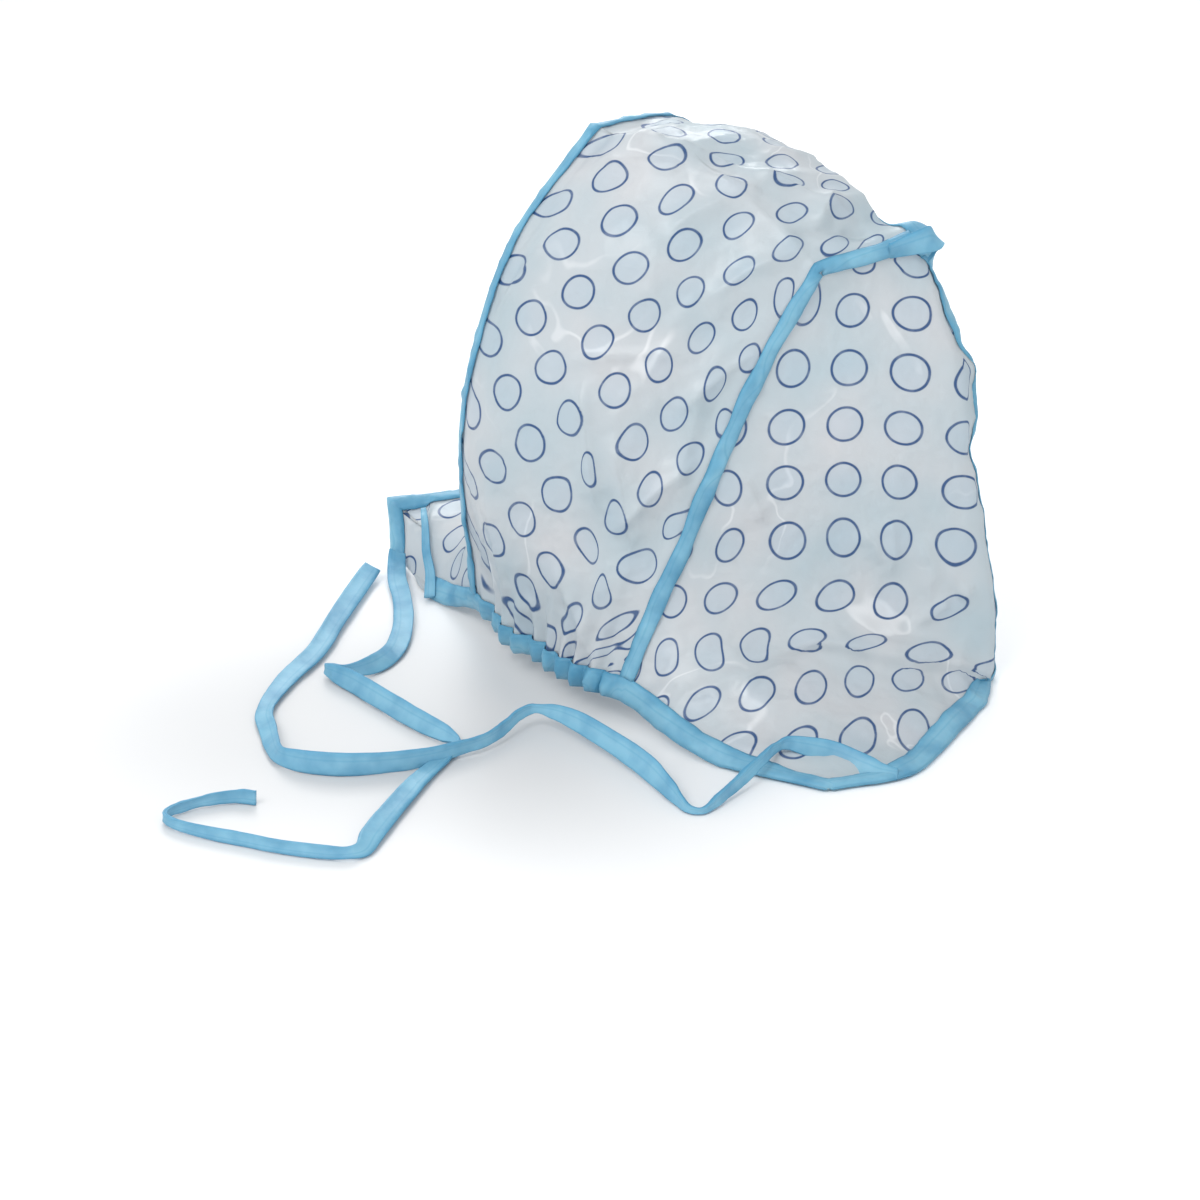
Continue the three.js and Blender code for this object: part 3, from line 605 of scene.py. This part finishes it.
def film_piece(name, node, base, height, cells, facing=1, crushed=0.0):
    """A panel as thin film, printed in ring cells, its points raised by height on the side that it faces.
    Its rings look thicker where it is crushed, from 0 to 1. Gives the piece's points."""
    points = base + facing * grid_normals(base) * height[..., None]
    points[..., 2] = np.maximum(points[..., 2], REST_HEIGHT)
    faces = []
    for i in range(FILM_ROWS - 1):
        for j in range(FILM_COLUMNS - 1):
            a = i * FILM_COLUMNS + j
            corners = (a, a + 1, a + FILM_COLUMNS + 1, a + FILM_COLUMNS)
            faces.append(corners if facing > 0 else (corners[0], *corners[:0:-1]))
    piece = put(name, points.reshape(-1, 3), faces, cells.reshape(-1, 2))
    crushed = np.clip(np.broadcast_to(crushed, (FILM_ROWS, FILM_COLUMNS)), 0, 1)
    piece.data.attributes.new("crushed", "FLOAT", "POINT").data.foreach_set("value", crushed.ravel())
    wall = piece.modifiers.new("film", "SOLIDIFY")
    wall.thickness = FILM_THICKNESS
    wall.offset = 0
    piece.data.materials.append(film)
    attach(piece, "root")
    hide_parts(node)
    return points


crown_flat, crown_base = panel_grids(crown_row, CROWN_LAST_ROW)
across = np.linspace(0, 1, FILM_COLUMNS)[None, :]
up = np.linspace(0, 1, FILM_ROWS)[:, None]
# How far the edge over the forehead curls in, in degrees, from the left seam to the right one.
curl = shares_between(across[0], (0, 0), (0.05, 0), (0.14, 75), (0.5, 95), (0.85, 80), (0.95, 0), (1, 0))
edge_in = crown_base[::-1].transpose(1, 0, 2)
outside = grid_normals(crown_base)[::-1].transpose(1, 0, 2)
crown_base = turned(edge_in, outside, np.radians(curl))[0].transpose(1, 0, 2)[::-1]
rise = crown_flat[..., 1] - crown_flat[:1, :, 1]
from_seam = np.minimum(across, 1 - across) * CROWN_SIZE[0]
# Pleats at the nape: place across, height, half width as a share across, how far up they reach in metres
# and drift.
NAPE_PLEATS = [
    (0.1, 0.001, 0.022, 0.012, 0.2), (0.17, -0.0014, 0.02, 0.014, 0.3), (0.235, 0.0018, 0.018, 0.018, 0.2),
    (0.29, -0.0016, 0.015, 0.014, 0.4), (0.345, 0.0022, 0.017, 0.02, 0.1),
    (0.395, -0.0018, 0.013, 0.012, 0.5), (0.44, 0.0024, 0.015, 0.022, 0.3),
    (0.5, -0.002, 0.015, 0.018, 0.1), (0.545, 0.0016, 0.011, 0.012, -0.2), (0.59, -0.0022, 0.013, 0.022, 0),
    (0.635, 0.0026, 0.013, 0.026, -0.3), (0.675, -0.0016, 0.01, 0.012, 0.2),
    (0.715, 0.0022, 0.012, 0.018, -0.2), (0.755, -0.0026, 0.011, 0.02, -0.4),
    (0.795, 0.0028, 0.012, 0.026, -0.3), (0.83, -0.0018, 0.009, 0.014, 0.1),
    (0.865, 0.0024, 0.01, 0.018, -0.4), (0.9, -0.002, 0.009, 0.014, -0.2),
    (0.935, 0.0018, 0.009, 0.012, -0.1),
]
gathers = sum(
    height * np.exp(-(((across - place - drift * rise) / (wide + 0.5 * rise)) ** 2)) * np.exp(-rise / reach)
    for place, height, wide, reach, drift in NAPE_PLEATS
)
# Sharp folds from the packet.
CROWN_FOLDS = [
    (0, 118, 26, 72, 5, 4.2), (20, 104, 40, 66, 4, 3.4), (-46, 190, 24, 210, 5, 4),
    (-40, 204, 30, 222, 4, 3), (6, 214, 44, 224, 4, 3.8), (26, 160, 42, 196, 4, 3.6),
    (34, 198, 54, 226, 4, -3.6), (40, 206, 30, 232, 3, 3.6), (2, 178, 12, 200, 4, 3.2),
    (-10, 120, 40, 146, 3, 2.2), (-52, 120, -34, 164, 4, 2.4), (36, 120, 54, 160, 4, 3),
    (30, 70, 50, 110, 4, 3.4), (10, 50, 40, 20, 4, 3), (-30, 60, -14, 20, 4, 2.4),
]
ruffled = 0.35 + 0.65 * smooth_step(crown_flat[..., 0] + 0.12 * (crown_flat[..., 1] - 0.15), 0.0, 0.04)
ruffled = np.maximum(ruffled, smooth_step(crown_flat[..., 1], 0.17, 0.21))
ruffled = np.maximum(ruffled, smooth_step(rise, 0.05, 0.015))
crown_height = (
    0.0022 * noise_over(crown_flat, 24, 1.5)
    - 0.0036 * ruffled * np.abs(noise_over(crown_flat, 40, 4.5, (1, 0.7)))
    - 0.0012 * ruffled * np.abs(noise_over(crown_flat, 95, 8.5))
    - 0.0005 * np.abs(noise_over(crown_flat, 210, 2.5))
    + 0.9 * folds_over(crown_flat, CROWN_FOLDS)
)
crown_height = crown_height * smooth_step(from_seam, *SEAM_HOLD) + gathers
# Rings that a crumple makes narrow or flat: place on the flat film in millimetres, direction of the squeeze
# in degrees and how many times narrower.
CROWN_PINCHES = [
    (13, 90, 19, 2.4), (28, 81, 15, 1.5), (-3, 104, 12, 1.4), (36, 94, 15, 1.25), (34, 178, -40, 1.3),
    (19, 191, 10, 1.2), (-3, 189, 10, 1.3), (-14, 199, 90, 1.3), (7, 201, 80, 1.4), (16, 222, 100, 1.3),
    (46, 215, 60, 1.3), (35, 229, 60, 1.2), (34, 149, -30, 1.2), (45, 165, -10, 1.2), (47, 135, 0, 1.5),
    (55, 118, 0, 1.4), (47, 75, -5, 1.6), (24, 64, 10, 1.3), (31, 55, 5, 2.6), (46, 50, -35, 2),
    (54, 58, -30, 1.6), (16, 23, 60, 1.7), (27, 35, 20, 1.6), (36, 36, 0, 1.5),
]
# Gathers swallow film at the nape, and small puckers do along both seams: place and length swallowed,
# in shares across for the nape and in metres up for the seams.
NAPE_TUCKS = [
    (0.2, 0.006), (0.3, 0.008), (0.38, 0.008), (0.46, 0.01), (0.54, 0.01), (0.6, 0.01), (0.66, 0.012),
    (0.72, 0.01), (0.78, 0.012), (0.84, 0.01), (0.9, 0.008),
]
SEAM_TUCKS = [
    (0.03, 0.003), (0.055, 0.004), (0.078, 0.003), (0.1, 0.004), (0.13, 0.003), (0.165, 0.004),
    (0.19, 0.003), (0.225, 0.004), (0.26, 0.003),
]
printed = pinched(crown_flat * 1000, CROWN_PINCHES, 8.8) / 1000
printed[..., 0] += (tucked(across, NAPE_TUCKS, 0.014) - 0.05) * np.exp(-((rise / 0.016) ** 2))
near_seam = np.exp(-np.maximum(from_seam - 0.004, 0) / 0.005)
printed[..., 1] += (tucked(crown_flat[..., 1], SEAM_TUCKS, 0.003) - 0.016) * near_seam
for axis, seed in ((0, 51.5), (1, 61.5)):
    printed[..., axis] += 0.0014 * ruffled * noise_over(crown_flat, 48, seed)
    printed[..., axis] += 0.0008 * noise_over(crown_flat, 110, seed + 4)
# The print runs askew over the crown. A reading is a ring's number across and up.
CROWN_PRINT = [
    [(-3.8, -2.0), (-2.7, -3.4), (0.2, -7.2)],
    [(1.2, 3.3), (3.2, 1.1), (6.9, -3.4)],
    [(5.4, 9.4), (8.2, 6.4), (12.7, 1.1)],
]
crown_cells = print_cells(printed[..., 0] / PRINTED_WIDTH + 0.5, printed[..., 1] / CROWN_SIZE[1], CROWN_PRINT)
# It is crushed at the nape and, less, beside the seams.
crushed = np.exp(-((rise / 0.022) ** 2)) + 0.5 * np.exp(-((from_seam / 0.006) ** 2))
crushed = crushed * (0.75 + 0.8 * noise_over(crown_flat, 60, 81.5))
crown_points = film_piece(
    "crown_film", "crown_panel", crown_base, crown_height, crown_cells, crushed=crushed,
)

# -------------------- right side panel
# The wearer's right: the same printed film, sewn to the crown along the seam, with a flap that runs to the
# chin corner. Its front edge curls inward, and its wall is folded over where it bends out to the skirt.

right_flat, right_base = panel_grids(lambda row: side_row(RIGHT_PANEL, row), LAST_ROW)
row_at = np.linspace(0, LAST_ROW, FILM_ROWS)
# How far the edge curls in degrees, and how far the film stands out there so that its outline stays.
curl = shares_between(
    row_at,
    (0, 0), (2.4, 0), (3.3, 92), (5.0, 92), (5.8, 50), (6.5, 70), (7.0, 45), (7.5, 65), (7.9, 0), (8, 0),
)
grow = shares_between(curl, (0, 0), (60, 0.0049), (90, 0.0088), (112, 0.0104))
lines, extra = turned(right_base[:, ::-1], grid_normals(right_base)[:, ::-1], np.radians(curl), grow=grow)
right_base = lines[:, ::-1]
right_flat = right_flat + unit(np.gradient(right_flat, axis=1)) * extra[:, ::-1, None]
# The seams hold the film still.
held_still = smooth_step(across * 0.1, *SEAM_HOLD) * smooth_step((1 - up) * 0.17, *SEAM_HOLD)
# It is smooth in the middle, creased where it bends out to its skirt and down its front.
RIGHT_FOLDS = [
    (-16, 40, -2, 62, 3, 2.4), (12, 128, 24, 106, 3, 2.2), (4, 120, 18, 110, 2.5, 1.8),
    (26, 124, 44, 104, 3, 2.2), (52, 108, 40, 92, 3, 2.6), (36, 196, 44, 160, 3, 3.4),
    (46, 186, 52, 150, 3, -3), (30, 210, 40, 180, 3, 2.8), (-46, 130, -30, 110, 3, 2),
]
# Where the wall's foot is folded over its skirt: how far each place lies above that line.
FOLD_ACROSS = (-0.05, -0.009, 0.002, 0.018, 0.041, 0.066, 0.09)
FOLD_UP = (0.045, 0.062, 0.071, 0.074, 0.079, 0.086, 0.091)
above_fold = right_flat[..., 1] - np.interp(right_flat[..., 0], FOLD_ACROSS, FOLD_UP)
near_fold = np.exp(-((above_fold / 0.012) ** 2))
doubled_over = smooth_step(above_fold, -0.0012, 0.0012) * np.exp(-((above_fold / 0.009) ** 2))
near_front = smooth_step(across, 0.8, 0.95) * smooth_step(up, 0.45, 0.65)
ruffled = 0.25 + 0.75 * np.maximum(near_fold, np.maximum(near_front, smooth_step(up, 0.25, 0.1)))
right_height = (
    0.0016 * noise_over(right_flat, 20, 21.5)
    - 0.0030 * ruffled * np.abs(noise_over(right_flat, 42, 24.5))
    - 0.0012 * ruffled * np.abs(noise_over(right_flat, 95, 28.5))
    - 0.0005 * np.abs(noise_over(right_flat, 210, 22.5))
    + folds_over(right_flat, RIGHT_FOLDS)
    + 0.0032 * doubled_over * smooth_step(right_flat[..., 0], -0.02, 0.0)
)
# The print of its wall and of its skirt meet at the fold. A pinch here is a ring's number across and up,
# direction of the squeeze in degrees and how many times narrower.
RIGHT_WALL_PRINT = [
    [(-0.7, -6.0), (3.5, -8.1), (7.6, -10.4)],
    [(1.1, -2.6), (3.9, -3.2), (6.6, -4.2)],
    [(2.4, 0.9), (3.8, 1.7), (5.0, 2.2)],
]
RIGHT_SKIRT_PRINT = [
    [(-0.6, -6.0), (2.1, -7.5), (4.0, -8.4)],
    [(-0.1, 1.5), (4.6, -2.2), (8.5, -5.1)],
    [(-0.9, 15.5), (5.7, 9.7), (11.5, 4.6)],
]
RIGHT_PINCHES = [
    (5.5, -4.5, -58, 2.3), (6.5, -4.5, 0, 1.5), (1.5, -3.5, -30, 1.6), (1.5, -2.5, 0, 1.4),
    (1.5, -7.5, -40, 1.4), (4.5, -5.5, -40, 1.5), (3.5, -5.5, 70, 1.3),
]
sharp = smooth_step(right_flat[..., 0], -0.016, -0.004)
blend_half = 0.009 * (1 - sharp) + 0.0006 * sharp
below_fold = smooth_step(above_fold / blend_half, 1, -1)[..., None]
right_cells = print_cells(across, up, RIGHT_WALL_PRINT) * (1 - below_fold)
right_cells = right_cells + print_cells(across, up, RIGHT_SKIRT_PRINT) * below_fold
# High up at its front a pleat swallows almost half a ring.
right_cells[..., 0] += 0.45 * smooth_step(across, 0.88, 0.92) * smooth_step(up, 0.55, 0.62)
right_cells[..., 0] += 0.055 * ruffled * noise_over(right_flat, 48, 71.5)
right_cells[..., 1] += 0.055 * ruffled * noise_over(right_flat, 48, 75.5)
right_cells = pinched(right_cells, RIGHT_PINCHES, 0.4)
right_points = film_piece(
    "right_side_film", "right_side_panel", right_base, right_height * held_still, right_cells,
)

# -------------------- left side panel
# The wearer's left, of the same film and sewn on the same way. Its free corner is cut square, and it was
# folded up and down near its front, so a strip of it stands back behind a crease.

left_flat, left_base = panel_grids(lambda row: side_row(LEFT_PANEL, row), LAST_ROW)
# The edge runs straight from each of the lowest three rows' ends to the next.
marks = np.array([row[2] for row in LEFT_PANEL[:3]])
straight = np.stack([np.interp(row_at, (0, 1, 2), marks[:, a]) for a in range(3)], axis=1)
to_straight = np.where(row_at[:, None] < 2, straight - left_base[:, -1], 0)
left_base = left_base + to_straight[:, None] * smooth_step(across, 0.5, 1.0)[..., None]
left_height = (
    0.0016 * noise_over(left_flat, 20, 31.5)
    - 0.0016 * np.abs(noise_over(left_flat, 36, 34.5))
    - 0.0006 * np.abs(noise_over(left_flat, 90, 38.5))
)
LEFT_FOLDS = [(-2, 6, 40, 18.5, 3.5, 3.2)]
past_crease = 0.006 + 0.3 * left_flat[..., 0] - left_flat[..., 1]
strip = smooth_step(past_crease, 0, 0.004) * smooth_step(across, 0.99, 0.9) * smooth_step(up, 0.24, 0.16)
left_height = left_height * held_still + folds_over(left_flat, LEFT_FOLDS) - 0.003 * strip
left_cells = left_flat / RING_PITCH + (0.09, 0.364) + 0.5 * strip[..., None]
left_points = film_piece(
    "left_side_film", "left_side_panel", left_base, left_height, left_cells,
    facing=-1,
)

# -------------------- right seam tape
# The crown and the right side meet edge to edge, and a strip of the sky-blue tape is sewn over the seam on
# the outside. It runs up the back, turns at the crown and goes forward, where its end is folded back on
# itself over the corner of the face opening.

SEAM_TAPE_LIFT = 0.0006
SEAM_END_GAP = 0.0065  # the strip stops this short of both ends, under the edge tapes
TAPE_LAYER = 0.00035
TAPE_REACH = 40  # points of a film line that the tapes can lie over
CAP_TOP = 0.2035


def line_between(lines, share):
    """The line at a share of the way through a stack of lines."""
    at = share * (len(lines) - 1)
    i = int(min(at, len(lines) - 2))
    return lines[i, :TAPE_REACH] * (1 - at + i) + lines[i + 1, :TAPE_REACH] * (at - i)


def seam_tape(name, node, side_points, crown_lines, facing, half, seed, knot=None):
    """The strip over a seam, half its width to each side. crown_lines are the crown's rows from the seam
    inward. knot is more of the same tape, as rings and print places."""
    stations = []
    top = side_points[-1]
    distances = np.array((0.0, half / 2, half))
    mitre = walk_in(top, distances) + walk_in(side_points[::-1, 0], distances) - top[0]
    for i in range(FILM_ROWS):
        k = CROWN_LAST_ROW * i / (FILM_ROWS - 1)
        if k <= LAST_ROW:
            line = line_between(side_points, k / LAST_ROW)
        else:
            line = line_between(side_points[::-1].transpose(1, 0, 2), (k - LAST_ROW) / FORWARD_ROWS)
        on_side = walk_in(line, distances)
        if np.linalg.norm(line[0] - top[0]) < half:
            on_side = np.vstack([line[:1], mitre[1:]])
        on_crown = walk_in(crown_lines[i, :TAPE_REACH], distances)
        stations.append(np.vstack([on_crown[::-1], on_side[1:]]))
    stations = np.array(stations)
    run = run_along(stations[:, 2])
    turn_at = run[int(LAST_ROW / CROWN_LAST_ROW * (FILM_ROWS - 1))]
    keep = (run > SEAM_END_GAP) & (run < run[-1] - SEAM_END_GAP)
    stations, run = stations[keep], run[keep]
    normals = facing * grid_normals(stations)
    rings, uvs = [], []
    for i in range(len(stations)):
        outer, inner = [], []
        for j in range(5):
            across = (j - 2) / 2
            wobble = 0.0005 * noise.noise((run[i] * 130, seed, across * 0.9))
            pucker = 0.0011 * max(0, noise.noise((run[i] * 170, seed + 5, across * 1.2)))
            breadth = 0.3 * noise.noise((run[i] * 70, seed, across))
            aside = 0.12 * noise.noise((run[i] * 38, seed, 2.0))
            base = stations[i, j] + (stations[i, j] - stations[i, 2]) * breadth
            base = base + (stations[i, 4] - stations[i, 0]) * aside
            lift = SEAM_TAPE_LIFT + 0.0003 * (1 - across**2) + wobble * abs(across) + pucker
            outer.append(base + normals[i, j] * (max(lift, 0.0004) + TAPE_LAYER))
            inner.append(base + normals[i, j] * max(lift, 0.0004))
        rings.append(outer + inner[::-1])
        doubled_up = 0.8 * min(1, max(0, 0.15 + 1.4 * noise.noise((run[i] * 60, seed, 7.0))))
        doubled_up = max(doubled_up, 0.9 * np.exp(-(((run[i] - turn_at) / 0.005) ** 2)))
        uvs += [(run[i] * 100, j / 4 * (1 - doubled_up)) for j in (0, 1, 2, 3, 4, 4, 3, 2, 1, 0)]
    tape_piece(name, node, rings, uvs, knot)


corner = right_points[-1, -1]
forward = unit(corner - right_points[-1, -14])
down = unit(right_points[-14, -1] - corner)
out = unit(np.cross(down, forward))
out = out * np.sign(out @ (1, -1, 1))
# The folded end: how far forward, down and out of that corner in millimetres, then how far its width
# turns from down toward out in quarter turns, and breadth.
RIGHT_KNOT = [
    (-19, 0, 1.6, 0, 0.8), (-12, -0.5, 3, 0.1, 1.1), (-5, -1, 4.2, 0.2, 1.25), (0, 0, 3.6, 0.5, 1.15),
    (2.2, 2.5, 2, 0.9, 0.8), (1.4, 5.2, 1.2, 0.6, 0.6), (-2, 7.5, 2, 0.3, 0.5), (-5.5, 8.5, 3, 0.1, 0.55),
    (-8, 11, 1.6, -0.3, 0.5),
]
knot_shares = np.linspace(0, 1, 60)
knot_at = smooth_curve([row[:3] for row in RIGHT_KNOT], knot_shares) / 1000
knot_turn, knot_breadth = smooth_curve([(*row[3:], 0) for row in RIGHT_KNOT], knot_shares)[:, :2].T
knot_turn = knot_turn[:, None] * 1.57
knot_line = corner + knot_at @ np.array([forward, down, out])
knot_line[:, 2] = np.minimum(knot_line[:, 2], CAP_TOP)
knot_width = unit(down * np.cos(knot_turn) + out * np.sin(knot_turn))
knot_rings, knot_uvs = folded_strip(knot_line, knot_width, knot_breadth, 5.0)
knot_end = knot_uvs[-1][0]
knot_uvs = [(x, y * float(smooth_step(x, 0.75 * knot_end, 0.4 * knot_end))) for x, y in knot_uvs]
seam_tape(
    "right_seam_tape", "right_seam_binding", right_points, crown_points[:, ::-1], 1, 0.0031, 3.0,
    (knot_rings, knot_uvs),
)

# -------------------- left seam tape
# The same strip over the seam between the crown and the left side, sewn on the same way and a little
# broader, since nothing pulls it narrow.

seam_tape("left_seam_tape", "left_seam_binding", left_points, crown_points, -1, 0.004, 6.0)

# -------------------- face tape
# The edge of the face opening: one length of the same tape, folded over the raw edge of the film and sewn
# through both legs, from the left chin corner over the forehead to the right one.

# How far in from the film's edge each leg's points lie, and how far off the film they stand.
LEG_REACH = np.array((0.008, 0.0066, 0.0045, 0.0023, 0.0007))
LEG_STAND = np.array((0.00075, 0.0012, 0.0014, 0.0013, 0.001))
LEG_TONES = [0.02, 0.1, 0.3, 0.55, 0.85, 0.97]
LINING_TONES = [0.1, 0.3, 0.5, 0.7, 0.9, 0.95, 0.9, 0.7, 0.5, 0.3, 0.1]
BINDING_STEP = 0.0011
EDGE_GAP = 0.0011  # how far the tape's fold lies past the film's edge


def edge_binding(name, node, lines, drawn, seed, tail=None):
    """Tape folded over the ends of the lines, which run inward. drawn is how far each line is drawn in,
    0 to 1. tail is more of the same tape, as rings and print places."""
    legs = np.array([walk_in(line, np.r_[LEG_REACH, 0.0]) for line in lines])
    run = run_along(legs[:, -1])
    even_run = np.arange(0, run[-1], BINDING_STEP)
    legs = legs.reshape(len(run), -1)
    legs = np.stack([np.interp(even_run, run, column) for column in legs.T], axis=1).reshape(-1, 6, 3)
    drawn = np.interp(even_run, run, drawn)
    edge = legs[:, -1]
    beyond = unit(edge - legs[:, 3])
    smooth = unit(np.cross(np.gradient(edge, axis=0), beyond))
    for _ in range(4):
        smooth[1:-1] = (smooth[:-2] + smooth[1:-1] + smooth[2:]) / 3
    normals = unit(smooth)
    rings, uvs = [], []
    for i, s in enumerate(even_run):
        pressed = min(1.0, 0.25 + min(s, even_run[-1] - s) / 0.005)
        slack = (1 + 0.35 * noise.noise((s * 60, seed, 1.0))) * pressed
        darker = 1 - drawn[i] * min(1, max(0, 0.75 + 0.9 * noise.noise((s * 160, seed, 2.0))))
        short = 0.0006 * noise.noise((s * 110, seed, 4.0))
        outer = []
        for side in (1, -1):
            leg = []
            for d in range(5):
                at = legs[i, d] - beyond[i] * short * (d == 0)
                pucker = (0.0005 + 0.0008 * drawn[i]) * abs(noise.noise((s * 210, seed + side, d * 0.6)))
                stand = LEG_STAND[d] * slack + pucker * pressed
                leg.append((at, stand * side))
            outer.append(leg)
        tip = edge[i] + beyond[i] * (EDGE_GAP + 0.0003 * noise.noise((s * 140, seed, 9.0)))
        ring = [at + normals[i] * stand for at, stand in outer[0]]
        ring += [tip + normals[i] * 0.0004, tip - normals[i] * 0.0004]
        ring += [at + normals[i] * stand for at, stand in outer[1][::-1]]
        ring += [at + normals[i] * (stand + TAPE_LAYER) for at, stand in outer[1]]
        ring += [edge[i] + beyond[i] * 0.0003]
        ring += [at + normals[i] * (stand - TAPE_LAYER) for at, stand in outer[0][::-1]]
        ring = np.array(ring)
        ring[:, 2] = np.maximum(ring[:, 2], 0.0001)
        rings.append(ring)
        uvs += [(s * 100, tone * darker) for tone in LEG_TONES + LEG_TONES[::-1] + LINING_TONES]
    tape_piece(name, node, rings, uvs, tail)


left_face = left_points[:, ::-1][:, :TAPE_REACH]
forehead = crown_points[::-1][:TAPE_REACH].transpose(1, 0, 2)
right_face = right_points[::-1, ::-1][:, :TAPE_REACH]
face_lines = np.concatenate([left_face[:-1], forehead, right_face[1:]])
drawn = np.where(np.arange(len(face_lines)) < 0.8 * len(left_face), 0.5, 0.0)
edge_binding("face_tape", "face_binding", face_lines, drawn, 11.0)

# -------------------- neck tape
# The same tape folded over the neck edge from the right chin corner round the nape to the left flap. It is
# pulled tight, so the film gathers at the nape, and at its left end it turns up along the crease in the film.

right_neck = right_points[:TAPE_REACH, ::-1].transpose(1, 0, 2)[:-1]
nape = crown_points[:TAPE_REACH, ::-1].transpose(1, 0, 2)
left_neck = left_points[:TAPE_REACH].transpose(1, 0, 2)[1:-51]
drawn = np.r_[
    np.zeros(len(right_neck)),
    shares_between(np.linspace(0, 1, len(nape)), (0, 0.6), (0.1, 1), (0.5, 0.7), (1, 0.3)),
    shares_between(np.linspace(0, 1, len(left_neck)), (0, 0.3), (0.7, 0.2), (1, 0.9)),
]
# The crease, as shares of the left panel up and across.
LEFT_CREASE = [(0.004, 0.48), (0.055, 0.578), (0.095, 0.688), (0.136, 0.798), (0.152, 0.9)]
crease = [left_base[int(i * (FILM_ROWS - 1)), int(j * (FILM_COLUMNS - 1))] for i, j in LEFT_CREASE]
crease_line = smooth_curve(crease, np.linspace(0, 1, 40))
forward = unit(np.array((0.68, -0.7, 0.2)))
# The tape lies just in front of the film there, wherever its folds stand.
reach = []
for at in crease_line:
    apart = left_points.reshape(-1, 3) - at
    ahead_by = apart @ forward
    beside = np.linalg.norm(apart - ahead_by[:, None] * forward, axis=1)
    reach.append(np.max(ahead_by[(beside < 0.003) & (np.abs(ahead_by) < 0.01)], initial=0.0))
reach = smooth_curve(np.c_[reach[::6], np.zeros((len(reach[::6]), 2))], np.linspace(0, 1, 40))[:, :1]
crease_line = crease_line + (reach + 0.0009) * forward
crease_across = unit(np.cross(np.gradient(crease_line, axis=0), (0.71, -0.7, 0.2)))
tail = folded_strip(crease_line, crease_across, np.linspace(0.6, 0.3, 40), 8.0)
neck_lines = np.concatenate([right_neck, nape, left_neck])
edge_binding("neck_tape", "neck_binding", neck_lines, drawn, 17.0, tail)
